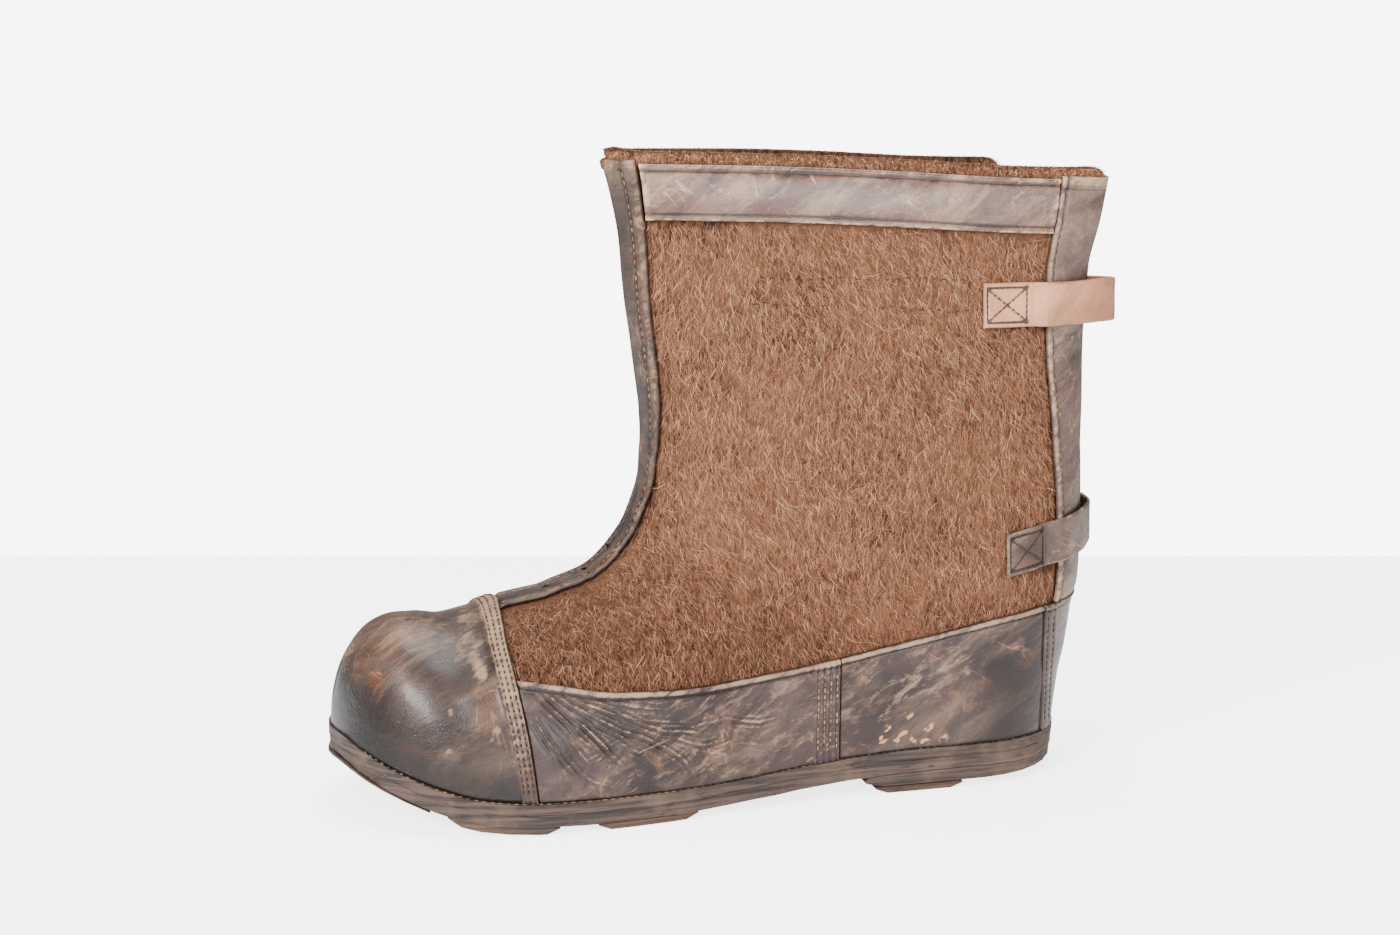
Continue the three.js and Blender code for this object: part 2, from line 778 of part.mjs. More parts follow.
// A flat strap whose inner face runs through two lines, its lower and its upper edge
const strapSteps = 21;
function strap(lowerEdge, upperEdge) {
  const low = new THREE.CatmullRomCurve3(lowerEdge, false, "centripetal").getPoints(strapSteps);
  const high = new THREE.CatmullRomCurve3(upperEdge, false, "centripetal").getPoints(strapSteps);
  const inner = [];
  const outer = [];
  for (let i = 0; i <= strapSteps; i++) {
    const along = low[Math.min(i + 1, strapSteps)].clone().sub(low[Math.max(i - 1, 0)]);
    const outward = along.cross(high[i].clone().sub(low[i])).normalize();
    inner.push([low[i], high[i]]);
    outer.push(inner[i].map((point) => point.clone().addScaledVector(outward, leather)));
  }
  return shellSolid(outer, inner);
}

// Stations of the upper strap: side, share of the way from patch to back edge on either panel,
// then the free loop behind the slit
const overFelt = 3 * gap;
const overBinding = 4 * gap + leather + beadStep;
function strapStation(side, behindEdge, height, tilt, width, lift) {
  return [-0.5, 0.5].map((half) => {
    const z = height + tilt + half * width;
    return skin(backX(height, side) + behindEdge, z, side, lift);
  });
}
function strapSolid(width, stations) {
  const edges = [[], []];
  for (const station of stations) {
    const points =
      station.free ?? strapStation(station.side, station.at, station.z, 0, width, station.lift);
    points.forEach((point, i) => edges[i].push(point));
  }
  return strap(edges[0], edges[1]);
}
// A station of the free part, behind the back edge
const freeStation = (x, y, z, width) => ({
  free: [-0.5, 0.5].map((half) => new THREE.Vector3(x, y, z + half * width)),
});
const onPanel = (side, at, z, lift) => ({ side, at, z, lift });
const loopHalf = slitY(upperStrapHeight) - 2;
const loopBack = backX(upperStrapHeight, -1) + 0.075 * shaftDepth;
const upperStrap = strapSolid(upperStrapWidth, [
  onPanel(-1, -2.4 * bindingWidth, upperStrapHeight, overFelt),
  onPanel(-1, -1.8 * bindingWidth, upperStrapHeight, overFelt),
  onPanel(-1, -1.3 * bindingWidth, upperStrapHeight, overFelt),
  onPanel(-1, -1.07 * bindingWidth, upperStrapHeight, overBinding),
  onPanel(-1, -0.5 * bindingWidth, upperStrapHeight, overBinding),
  freeStation(loopBack - 12, -loopHalf - 8, upperStrapHeight, upperStrapWidth),
  freeStation(loopBack, -loopHalf + 3, upperStrapHeight - 1, upperStrapWidth),
  freeStation(loopBack - 3, 0, upperStrapHeight - 3, upperStrapWidth),
  freeStation(loopBack - 12, loopHalf - 3, upperStrapHeight - 5, upperStrapWidth),
  onPanel(1, -0.1 * bindingWidth, upperStrapHeight - 6, overBinding + 1),
  onPanel(1, -0.5 * bindingWidth, upperStrapHeight - 6, overBinding),
  onPanel(1, -1.07 * bindingWidth, upperStrapHeight - 6, overBinding),
  onPanel(1, -1.3 * bindingWidth, upperStrapHeight - 6, overFelt),
  onPanel(1, -1.8 * bindingWidth, upperStrapHeight - 6, overFelt),
  onPanel(1, -2.4 * bindingWidth, upperStrapHeight - 6, overFelt),
]);

// The lower strap rises towards the back and lies close behind the slit.
const lowBack = backX(lowerStrapHeight, -1);
const lowStation = (side, at, rise, lift) =>
  onPanel(side, at * bindingWidth, lowerStrapHeight + rise * lowerStrapWidth, lift);
const lowStrapHalf = (side) => [
  lowStation(side, -2.25, -0.12, overFelt),
  lowStation(side, -1.7, 0.0, overFelt),
  lowStation(side, -1.3, 0.08, overFelt),
  lowStation(side, -1.07, 0.13, overBinding),
  lowStation(side, -0.6, 0.19, overBinding),
  lowStation(side, -0.25, 0.23, overBinding + 0.5),
];
const lowRise = lowerStrapHeight + 0.25 * lowerStrapWidth;
const lowerStrap = strapSolid(lowerStrapWidth, [
  ...lowStrapHalf(-1),
  freeStation(lowBack + 6, -10, lowRise, lowerStrapWidth),
  freeStation(lowBack + 7, 0, lowRise, lowerStrapWidth),
  freeStation(lowBack + 6, 10, lowRise, lowerStrapWidth),
  ...lowStrapHalf(1).reverse(),
]);

// Plan outline of the foot at the feather line, from toe tip to heel back, at a reach outside it
const rungCount = 34;
function planRungs(reachAt) {
  const half = (x, side) => halfWidth(x, featherZ(x) + gap, side);
  const rungs = [];
  for (let i = 0; i <= rungCount; i++) {
    const share = (1 - Math.cos((i / rungCount) * Math.PI)) / 2;
    const x = alongFoot(share);
    const reach = reachAt(share);
    if (i === 0 || i === rungCount) {
      const tip = new THREE.Vector2(x + (i === 0 ? -reach : reach), centreY(x));
      rungs.push([tip, tip]);
      continue;
    }
    rungs.push(
      [-1, 1].map((side) => {
        const slope = (half(x + nudge, side) - half(x - nudge, side)) / (2 * nudge);
        const normal = new THREE.Vector2(-slope, side).normalize();
        return new THREE.Vector2(
          x + normal.x * reach,
          centreY(x) + side * half(x, side) + normal.y * reach,
        );
      }),
    );
  }
  return rungs;
}

// A plate with this outline, between two heights that change along the foot
function plate(reachAt, topAt, bottomAt) {
  const rungs = planRungs(reachAt);
  const grid = (heightAt) =>
    rungs.map((rung) => {
      const [a, b] = rung;
      return [a, a.clone().add(b).multiplyScalar(0.5), b].map(
        (p) => new THREE.Vector3(p.x, p.y, heightAt(p.x)),
      );
    });
  return shellSolid(grid(topAt), grid(bottomAt), (i) => i === 0 || i === rungCount);
}

// Heights of the bottom of the boot, from the feather line down
const reachLine = curveThrough([
  [0.0, 0.8],
  [0.12, 1.0],
  [0.3, 1.0],
  [0.5, 0.8],
  [1.0, 0.65],
]);
const reachAt = (share) => reachLine(share) * soleReach;
const midsoleBottom = (x) => featherZ(x) - midsoleThickness;
const outsoleTop = (x) => midsoleBottom(x) - gap;
const outsoleBottom = (x) => outsoleTop(x) - outsoleThickness;
const midsole = plate(reachAt, (x) => featherZ(x) - gap / 2, midsoleBottom);
const outsole = plate((share) => reachAt(share) - 0.5, outsoleTop, outsoleBottom);
const insoleInset = -feltWall - 5 * gap;
const insole = plate(
  () => insoleInset,
  (x) => featherZ(x) + gap + insoleThickness,
  (x) => featherZ(x) + gap,
);

// Heel lift with a worn rear, cut from a plate by its side view: share of length, height
const heelBreast = alongFoot(0.69);
const treadTop = treadThickness + gap;
const liftBottom = curveThrough([
  [heelBreast, treadTop + 3],
  [alongFoot(0.713), treadTop],
  [alongFoot(0.83), treadTop],
  [heelBack - 12, treadTop + 1.2],
  [heelBack + 4, treadTop + 3],
]);
const liftPlate = plate(
  (share) => reachAt(share) - 1,
  (x) => outsoleBottom(x) - gap,
  liftBottom,
);
const heelLift = liftPlate.intersect(
  sidePrism(uprightBand((z) => heelBreast + 0.3 * z, () => behind, 0, 40, 1)),
);

// Tread bars and toe plate: pieces of a thin layer that follows the outsole, flat on the floor
const treadReach = (share) => reachAt(share) - 1.3;
const layerTop = (x) => outsoleBottom(x) - gap;
const layerBottom = (x) => Math.max(0, layerTop(x) - treadThickness - 0.35);
const treadLayer = plate(treadReach, layerTop, layerBottom);
const heelLayer = plate(treadReach, () => treadThickness, () => 0);
const endTaper = 6;
function treadBar(sheet, from, to, topAt, bottomAt) {
  const [x0, x1] = [alongFoot(from), alongFoot(to)];
  const outline = [
    [x0, 60],
    [x0, topAt(x0) - 0.8],
    [x0 + endTaper, bottomAt(x0 + endTaper) - 0.01],
    [x0 + endTaper, -1],
    [x1 - endTaper, -1],
    [x1 - endTaper, bottomAt(x1 - endTaper) - 0.01],
    [x1, topAt(x1) - 0.8],
    [x1, 60],
  ];
  return sheet.intersect(sidePrism(outline));
}
const toePlate = plate(
  (share) => reachAt(share) + 0.6,
  (x) => outsoleBottom(x) - 3 * gap,
  (x) => outsoleBottom(x) - 3 * gap - toePlateThickness,
).intersect(sidePrism(uprightBand(() => inFront, () => alongFoot(0.1), -5, 60, 1)));

// Materials
const finish = (color, roughness) =>
  new THREE.MeshStandardMaterial({ color, roughness, metalness: 0 });
const feltBrown = finish(0x6e4630, 0.95);
const darkLeather = finish(0x40302a, 0.5);
const tanLeather = finish(0x9a6b52, 0.6);
const soleLeather = finish(0x4c3b31, 0.75);
const insoleLeather = finish(0x6b503c, 0.8);

const boot = new THREE.Group();
function addPiece(name, cutSolid, material) {
  const solid = cutSolid.asOriginal().simplify(0.045);
  const mesh = solid.getMesh();
  const positions = new Float32Array(mesh.numVert * 3);
  for (let i = 0; i < mesh.numVert; i++) {
    for (let k = 0; k < 3; k++) {
      positions[i * 3 + k] = mesh.vertProperties[i * mesh.numProp + k];
    }
  }
  const geometry = new THREE.BufferGeometry();
  geometry.setAttribute("position", new THREE.BufferAttribute(positions, 3));
  geometry.setIndex(new THREE.BufferAttribute(new Uint32Array(mesh.triVerts), 1));
  geometry.computeVertexNormals();
  const piece = new THREE.Mesh(geometry, material);
  piece.name = name;
  boot.add(piece);
}

addPiece("upper_felt", upperSolid, feltBrown);
addPiece("toe_cap", toeCap, darkLeather);
addPiece("rand_front_lateral", randFront(-1), darkLeather);
addPiece("rand_front_medial", randFront(1), darkLeather);
addPiece("rand_rear_lateral", randRear(-1), darkLeather);
addPiece("rand_rear_medial", randRear(1), darkLeather);
addPiece("heel_counter", heelCounter, darkLeather);
addPiece("front_strip", frontStrip, darkLeather);
addPiece("collar_band_lateral", collarBand(-1), darkLeather);
addPiece("collar_band_medial", collarBand(1), darkLeather);
addPiece("back_binding_lateral", backBinding(-1), darkLeather);
addPiece("back_binding_medial", backBinding(1), darkLeather);
addPiece("upper_strap", upperStrap, tanLeather);
addPiece("lower_strap", lowerStrap, darkLeather);
addPiece("insole", insole, insoleLeather);
addPiece("midsole", midsole, soleLeather);
addPiece("outsole", outsole, soleLeather);
addPiece("toe_plate", toePlate, soleLeather);
addPiece("tread_bar_front", treadBar(treadLayer, 0.121, 0.264, layerTop, layerBottom), soleLeather);
addPiece("tread_bar_rear", treadBar(treadLayer, 0.314, 0.453, layerTop, layerBottom), soleLeather);
addPiece("heel_lift", heelLift, soleLeather);
addPiece("heel_bar", treadBar(heelLayer, 0.71, 0.836, () => treadThickness, () => 0), soleLeather);

export default boot;
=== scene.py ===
import math

import bmesh
import bpy
import numpy as np
from mathutils import Matrix, Vector


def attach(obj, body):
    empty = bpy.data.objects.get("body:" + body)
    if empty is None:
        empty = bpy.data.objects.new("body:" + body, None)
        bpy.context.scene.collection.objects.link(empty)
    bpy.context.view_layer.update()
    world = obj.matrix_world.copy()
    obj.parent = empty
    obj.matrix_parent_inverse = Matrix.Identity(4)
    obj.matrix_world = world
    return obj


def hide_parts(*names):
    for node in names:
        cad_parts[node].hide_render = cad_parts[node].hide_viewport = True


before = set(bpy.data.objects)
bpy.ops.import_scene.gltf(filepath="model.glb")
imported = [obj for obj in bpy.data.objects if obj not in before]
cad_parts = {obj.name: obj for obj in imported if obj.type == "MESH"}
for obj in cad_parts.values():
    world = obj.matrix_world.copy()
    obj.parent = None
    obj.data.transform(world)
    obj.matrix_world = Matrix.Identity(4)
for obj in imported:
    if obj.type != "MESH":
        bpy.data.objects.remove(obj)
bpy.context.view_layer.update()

# Felt of the upper
# Two side panels of thick hair felt, pressed from cattle hair, that meet under the front strip
# and stand apart along the back slit. One wall, open at the collar, down the slit and underneath.
MM = 0.001
foot_length = 341.0
heel_back = 77.0
toe_x = heel_back - foot_length
ball_width = 122.0
heel_width = 92.0
collar_height = 296.0
collar_drop = 10.0
shaft_depth = 226.0
slit_root = 88.0
slit_half_width = 35.0
pivot_x = toe_x + 95.0
pivot_z = 185.0
felt_wall = 5.0
gap = 0.3


def share_of(x):
    return (x - toe_x) / foot_length


def along_foot(share):
    return toe_x + share * foot_length


def mix(a, b, t):
    return a + (b - a) * t


def smoothstep(low, high, value):
    t = np.clip((value - low) / (high - low), 0.0, 1.0)
    return t * t * (3.0 - 2.0 * t)


def curve_through(rows, column=1):
    """A smooth curve without overshoot through the rows (place, value, ...)."""
    xs = np.array([row[0] for row in rows], float)
    ys = np.array([row[column] for row in rows], float)
    rise = np.diff(ys) / np.diff(xs)
    slopes = np.concatenate([rise[:1], np.zeros(len(xs) - 2), rise[-1:]])
    both = rise[:-1] * rise[1:]
    total = np.where(both > 0, rise[:-1] + rise[1:], 1.0)
    slopes[1:-1] = np.where(both > 0, 2.0 * both / total, 0.0)

    def at(x):
        x = np.clip(x, xs[0], xs[-1])
        i = np.clip(np.searchsorted(xs, x, side="right") - 1, 0, len(xs) - 2)
        width = xs[i + 1] - xs[i]
        t = (x - xs[i]) / width
        h = t * t * (3.0 - 2.0 * t)
        lean = (1.0 - t) * slopes[i] - t * slopes[i + 1]
        return ys[i] * (1.0 - h) + ys[i + 1] * h + width * t * (1.0 - t) * lean

    return at


def rounded(depth, power):
    return np.power(1.0 - np.power(1.0 - np.clip(depth, 0.0, 1.0), power), 1.0 / power)


# Feather line, vamp, instep, front fold, back edge, plan and shaft, in the same shares as the part
feather_line = curve_through(
    [(0.0, 0.129), (0.031, 0.11), (0.069, 0.09), (0.113, 0.071), (0.172, 0.055), (0.245, 0.0485),
     (0.333, 0.048), (0.45, 0.0485), (0.527, 0.0525), (0.6, 0.0585), (0.69, 0.0655),
     (0.79, 0.0695), (1.0, 0.0705)]
)
vamp_line = curve_through(
    [(0.0, 0.293), (0.08, 0.2936), (0.107, 0.2915), (0.141, 0.284), (0.1745, 0.2905),
     (0.22, 0.306), (0.2786, 0.318)]
)
instep_line = curve_through(
    [(0.0, 1.88), (0.061, 1.822), (0.171, 1.762), (0.252, 1.677), (0.319, 1.594), (0.384, 1.518),
     (0.457, 1.416), (0.55, 1.311), (0.697, 1.149), (0.885, 1.033), (1.0, 1.0)]
)
front_lean = curve_through(
    [(0.0, 0.0), (0.215, 0.013), (0.41, 0.0265), (0.645, 0.037), (0.84, 0.055), (1.0, 0.077)]
)
back_rows = [
    (0.0725, 0.0, 0.0, 0.0),
    (0.15, 0.011, 0.0, 0.0),
    (0.216, 0.029, 0.0, 0.0),
    (slit_root / collar_height, 0.0455, 0.0, 0.0),
    (0.3, 0.047, 0.0, 0.085),
    (0.36, 0.052, 0.0, 0.17),
    (0.44, 0.051, 0.0, 0.27),
    (0.58, 0.037, 0.02, 0.52),
    (0.72, 0.022, 0.05, 0.72),
    (0.81, 0.021, 0.07, 0.83),
    (0.89, 0.038, 0.095, 0.93),
    (1.0, 0.058, 0.12, 1.0),
]
back_line = curve_through(back_rows, 1)
back_short = curve_through(back_rows, 2)
slit_line = curve_through(back_rows, 3)
rim_rise = curve_through([(0.0, 0.0), (0.33, -0.2), (0.55, -0.45), (0.78, -0.8), (1.0, -1.0)])
plan_rows = [
    (0.0, 0.475, 0.475),
    (0.2, 0.492, 0.488),
    (0.29, 0.5, 0.5),
    (0.4, 0.478, 0.468),
    (0.52, 0.425, 0.4),
    (0.64, 0.389, 0.37),
    (0.75, 0.377, 0.377),
    (1.0, 0.377, 0.377),
]
plan_outer = curve_through(plan_rows, 1)
plan_inner = curve_through(plan_rows, 2)
shaft_rows = [
    (0.3, 0.4, 0.56, 0.5),
    (0.44, 0.31, 0.49, 0.44),
    (0.62, 0.21, 0.42, 0.41),
    (0.81, 0.13, 0.345, 0.405),
    (1.0, 0.09, 0.275, 0.41),
]
shaft_front = curve_through(shaft_rows, 1)
shaft_middle = curve_through(shaft_rows, 2)
shaft_back = curve_through(shaft_rows, 3)
arch_foot = curve_through([(0.0, 0.17), (0.1, 0.19), (0.2, 0.19), (0.2786, 0.18)])
arch_instep = curve_through([(0.0, 0.18), (0.3, 0.15), (0.65, 0.1), (1.0, 0.07)])
arch_shaft = curve_through([(0.0, 0.07), (0.5, 0.045), (1.0, 0.034)])


def feather_z(x):
    return feather_line(share_of(x)) * collar_height


def vamp_z(x):
    tip = feather_z(toe_x)
    return tip + (vamp_line(share_of(x)) * collar_height - tip) * rounded(share_of(x) / 0.09, 2)


def instep_radius(turn):
    return instep_line(turn) / instep_line(0.0) * (pivot_z - vamp_z(pivot_x))


def up_shaft(z):
    return np.clip((z - pivot_z) / (collar_height - pivot_z), 0.0, 1.0)


def front_x(z):
    return pivot_x + instep_radius(1.0) - front_lean(up_shaft(z)) * shaft_depth


def back_x(z, side):
    share = z / collar_height
    short = np.where(side > 0, back_short(share), 0.0)
    return heel_back + (back_line(share) - short) * shaft_depth


def slit_y(z):
    return slit_line(z / collar_height) * slit_half_width


def rim_z(share):
    return collar_height + rim_rise(share) * collar_drop


def centre_y(x):
    return 5.0 * np.clip(1.0 - share_of(x) / 0.42, 0.0, 1.0) ** 2


def front_depth(x, z):
    """Depth below the top or behind the front fold, as a share of the depth of its round."""
    on_foot = (vamp_z(x) - z) / arch_foot(share_of(x))
    on_shaft = (x - front_x(z)) / arch_shaft(up_shaft(z))
    turn = 1.0 - np.arctan2(pivot_z - z, x - pivot_x) / (math.pi / 2)
    on_instep = (np.hypot(pivot_z - z, x - pivot_x) - instep_radius(turn)) / arch_instep(turn)
    on_leg = np.where(z > pivot_z, on_shaft, on_instep)
    return np.where(x < pivot_x, on_foot, on_leg) / foot_length


def half_width(x, z, side):
    """Half width of the felt's outer face at a place in the side view; side is -1 outer, 1 inner."""
    share = share_of(x)
    table = np.where(side < 0, plan_outer(share), plan_inner(share)) * ball_width
    plan = mix(table, heel_width / 2, smoothstep(0.6, 0.75, share))
    front = front_x(np.maximum(z, pivot_z))
    t = np.clip((x - front) / (back_x(z, side) - front), 0.0, 1.0)
    up = z / collar_height
    a, b, c = shaft_front(up), shaft_middle(up), shaft_back(up)
    bulge = 2.0 * b - (a + c) / 2.0
    shaft = (a * (1.0 - t) ** 2 + 2.0 * t * (1.0 - t) * bulge + c * t * t) * heel_width
    base = mix(plan, shaft, smoothstep(0.2, 0.42, up))
    body = base * rounded(share / 0.23, 2.15) * rounded(front_depth(x, z), 2.1)
    opened = np.clip(slit_y(z) / np.maximum(body, 1.0), 0.0, 0.98)
    cut_off = 1.0 - np.power(1.0 - np.power(opened, 2.2), 1.0 / 2.2)
    depth = (back_x(z, side) - x) / (0.135 * foot_length)
    return body * rounded(cut_off + depth, 2.2)


def skin(x, z, side, offset=0.0):
    """Points of the felt's outer face moved out by offset, and the directions they moved in."""
    x, z, side, offset = np.broadcast_arrays(x, z, side, offset)
    hair = 0.02
    y = half_width(x, z, side)
    probe_x = np.clip(x, toe_x + 2 * hair, back_x(z, side) - 2 * hair)
    probe_z = np.array(z, float)
    near = front_depth(x, z) * foot_length < 2 * hair
    radius = np.maximum(np.hypot(x - pivot_x, z - pivot_z), 1.0)
    on_foot = x < pivot_x
    on_shaft = (z > pivot_z) & ~on_foot
    in_x = np.where(on_foot, 0.0, np.where(on_shaft, 1.0, (x - pivot_x) / radius))
    in_z = np.where(on_foot, -1.0, np.where(on_shaft, 0.0, (z - pivot_z) / radius))
    probe_x = probe_x + np.where(near, in_x * 2 * hair, 0.0)
    probe_z = probe_z + np.where(near, in_z * 2 * hair, 0.0)
    ahead = half_width(probe_x + hair, probe_z, side) - half_width(probe_x - hair, probe_z, side)
    above = half_width(probe_x, probe_z + hair, side) - half_width(probe_x, probe_z - hair, side)
    normal = np.stack([-ahead / (2 * hair), side * (y > 1e-6), -above / (2 * hair)], axis=-1)
    normal = normal / np.maximum(np.linalg.norm(normal, axis=-1, keepdims=True), 1e-9)
    point = np.stack([x, centre_y(x) + side * y, z], axis=-1) + normal * offset[..., None]
    return point, normal


def turn_to(x, z):
    return 1.0 - math.atan2(pivot_z - z, x - pivot_x) / (math.pi / 2)


def ray_end(turn, side):
    """Where a ray from the pivot leaves the boot at the sole or the back."""
    angle = (1.0 - turn) * (math.pi / 2)
    near, far = float(instep_radius(turn)), foot_length
    for _ in range(40):
        r = (near + far) / 2
        x, z = pivot_x + math.cos(angle) * r, pivot_z - math.sin(angle) * r
        if x < back_x(z, side) and z > feather_z(min(x, heel_back)) + gap:
            near = r
        else:
            far = r
    return pivot_x + math.cos(angle) * near, pivot_z - math.sin(angle) * near


def upper_sections():
    """Sections of the upper from the toe tip to the collar: ends in the side view, and their kind."""
    rows = []
    for i in range(41):
        round_share = 1.0 - math.cos(i / 40 * math.pi / 2)
        x = mix(toe_x, pivot_x, mix(round_share, i / 40, 0.35 * (i / 40)))
        low = float(feather_z(x)) + gap
        top = low if i == 0 else float(vamp_z(x))
        rows.append({"ends": {-1: (x, top, x, low), 1: (x, top, x, low)}, "back": 0.0})

    def fan(turn, back, corner=None, closed=False):
        angle = (1.0 - turn) * (math.pi / 2)
        r = float(instep_radius(turn))
        start = (pivot_x + r * math.cos(angle), pivot_z - r * math.sin(angle))
        ends = {side: (*start, *(corner or ray_end(turn, side))) for side in (-1, 1)}
        rows.append({"ends": ends, "back": back, "turn": turn, "closed": closed})

    heel_round = 0.135 * foot_length
    heel_start = heel_back - heel_round
    for i in range(1, 14):
        x = mix(pivot_x, heel_start, i / 13)
        fan(turn_to(x, float(feather_z(x)) + gap), min(1.0, i / 14))
    for i in range(1, 12):
        x = heel_start + heel_round * math.sin(i / 12 * math.pi / 2)
        fan(turn_to(x, float(feather_z(x)) + gap), 1.0)
    heel_corner = (heel_back, float(feather_z(heel_back)) + gap)
    slit_corner = (float(back_x(slit_root, -1)), slit_root)
    low_turn, high_turn = turn_to(*heel_corner), turn_to(*slit_corner)
    for i in range(9):
        corner = {0: heel_corner, 8: slit_corner}.get(i)
        fan(mix(low_turn, high_turn, i / 8), 1.0, corner, closed=True)
    for i in range(1, 17):
        fan(mix(high_turn, 1.0, i / 17), 1.0)
    for i in range(35):
        up = i / 34
        front, back = mix(pivot_z, rim_z(0.0), up), mix(pivot_z, rim_z(1.0), up)
        ends = {s: (front_x(front), front, float(back_x(back, s)), back) for s in (-1, 1)}
        rows.append({"ends": ends, "back": 1.0, "collar": up})
    return rows


sections = upper_sections()


def on_section(row, across, side):
    x0, z0, x1, z1 = (np.where(side < 0, a, b) for a, b in zip(row["ends"][-1], row["ends"][1]))
    single = 1.0 - np.cos(across * math.pi / 2)
    double = (1.0 - np.cos(across * math.pi)) / 2
    share = mix(single, double, row["back"])
    z = mix(z0, z1, share)
    up = row.get("collar", 0.0)
    z = z + up * (rim_z(share) - mix(rim_z(0.0), rim_z(1.0), share))
    return mix(x0, x1, share), z


def patch(name, us, vs, lay):
    """A grid with a row of points for each value of us and vs, laid on the boot by lay(u, v).

    lay gives points in millimetres, outward directions, the wear and painted shade of the surface
    there (below zero is dirt and painted shade) and, where a piece has them, its warm brown places."""
    us, vs = np.asarray(us, float), np.asarray(vs, float)
    bm = bmesh.new()
    bmesh.ops.create_grid(bm, x_segments=len(us) - 1, y_segments=len(vs) - 1, size=0.5)
    place = np.array([v.co[:2] for v in bm.verts]) + 0.5
    i = np.rint(place[:, 0] * (len(us) - 1)).astype(int)
    j = np.rint(place[:, 1] * (len(vs) - 1)).astype(int)
    points, outward, *shares = lay(us[i], vs[j])
    for vert, point in zip(bm.verts, points * MM):
        vert.co = point
    for name_of, share in zip(("wear_and_shade", "warm"), shares):
        layer = bm.verts.layers.float.new(name_of)
        for vert, value in zip(bm.verts, np.broadcast_to(share, len(points))):
            vert[layer] = value
    bm.normal_update()
    bm.verts.index_update()
    facing = sum(f.normal.dot(Vector(outward[f.verts[0].index])) for f in bm.faces)
    if facing < 0:
        bmesh.ops.reverse_faces(bm, faces=bm.faces)
    bmesh.ops.remove_doubles(bm, verts=bm.verts, dist=2e-6)
    mesh = bpy.data.meshes.new(name)
    bm.to_mesh(mesh)
    bm.free()
    mesh.polygons.foreach_set("use_smooth", [True] * len(mesh.polygons))
    piece = bpy.data.objects.new(name, mesh)
    bpy.context.scene.collection.objects.link(piece)
    return piece


def thicken(piece, thickness, bevel=0.0):
    """Gives a sheet its thickness inwards, and softens the edges of the wall."""
    wall = piece.modifiers.new("Wall", "SOLIDIFY")
    wall.thickness = thickness * MM
    wall.offset = -1.0
    if bevel:
        soft = piece.modifiers.new("Edges", "BEVEL")
        soft.width = bevel * MM
        soft.segments = 3
        soft.limit_method = "ANGLE"
        soft.angle_limit = math.radians(50)
    return piece


def fit(piece, material, slot, *nodes):
    piece.data.materials.append(material)
    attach(piece, "root")
    if nodes:
        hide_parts(*nodes)
    return piece


def linear(red, green, blue):
    """A colour given in the eight-bit values of a paint card."""
    parts = [c / 255 for c in (red, green, blue)]
    return tuple(c / 12.92 if c < 0.04045 else ((c + 0.055) / 1.055) ** 2.4 for c in parts) + (1.0,)


class Finish:
    """A material and the few kinds of node that the finishes below are built from."""

    def __init__(self, name, values):
        self.material = bpy.data.materials.new(name)
        self.material.use_nodes = True
        self.tree = self.material.node_tree
        self.surface = self.tree.nodes["Principled BSDF"]
        self.place = self.tree.nodes.new("ShaderNodeTexCoord").outputs["Object"]
        for socket, value in values.items():
            self.surface.inputs[socket].default_value = value

    def feed(self, socket, value):
        if isinstance(value, bpy.types.NodeSocket):
            self.tree.links.new(value, socket)
        else:
            socket.default_value = value

    def stretch(self, scale, turn=(0.0, 0.0, 0.0)):
        """Coordinates turned and then scaled, so that a pattern can run aslant."""
        node = self.tree.nodes.new("ShaderNodeMapping")
        node.vector_type = "TEXTURE"
        node.inputs["Scale"].default_value = tuple(1.0 / share for share in scale)
        node.inputs["Rotation"].default_value = turn
        self.tree.links.new(self.place, node.inputs["Vector"])
        return node.outputs["Vector"]

    def noise(self, scale, detail=3.0, roughness=0.5, distortion=0.0, place=None):
        node = self.tree.nodes.new("ShaderNodeTexNoise")
        node.inputs["Scale"].default_value = scale
        node.inputs["Detail"].default_value = detail
        node.inputs["Roughness"].default_value = roughness
        node.inputs["Distortion"].default_value = distortion
        self.tree.links.new(place or self.place, node.inputs["Vector"])
        return node.outputs["Fac"]

    def cells(self, scale, feature="F1", place=None):
        node = self.tree.nodes.new("ShaderNodeTexVoronoi")
        node.feature = feature
        node.inputs["Scale"].default_value = scale
        self.tree.links.new(place or self.place, node.inputs["Vector"])
        return node.outputs["Distance"]

    def attribute(self, name):
        node = self.tree.nodes.new("ShaderNodeAttribute")
        node.attribute_name = name
        return node.outputs["Fac"]

    def between(self, value, low, high, to_low=0.0, to_high=1.0):
        node = self.tree.nodes.new("ShaderNodeMapRange")
        node.interpolation_type = "SMOOTHSTEP"
        for socket, v in zip(node.inputs[:5], (value, low, high, to_low, to_high)):
            self.feed(socket, v)
        return node.outputs["Result"]

    def maths(self, operation, a, b=0.0):
        node = self.tree.nodes.new("ShaderNodeMath")
        node.operation = operation
        self.feed(node.inputs[0], a)
        self.feed(node.inputs[1], b)
        return node.outputs["Value"]

    def blend(self, share, first, second, kind="MIX"):
        node = self.tree.nodes.new("ShaderNodeMix")
        node.data_type = "RGBA"
        node.blend_type = kind
        self.feed(node.inputs["Factor"], share)
        self.feed(node.inputs[6], first)
        self.feed(node.inputs[7], second)
        return node.outputs[2]

    def bump(self, height, distance, strength=1.0, under=None):
        node = self.tree.nodes.new("ShaderNodeBump")
        node.inputs["Strength"].default_value = strength
        node.inputs["Distance"].default_value = distance
        self.feed(node.inputs["Height"], height)
        if under is not None:
            self.feed(node.inputs["Normal"], under)
        return node.outputs["Normal"]

    def paint(self, colour=None, roughness=None, normal=None):
        for socket, value in (("Base Color", colour), ("Roughness", roughness), ("Normal", normal)):
            if value is not None:
                self.feed(self.surface.inputs[socket], value)
        return self.material


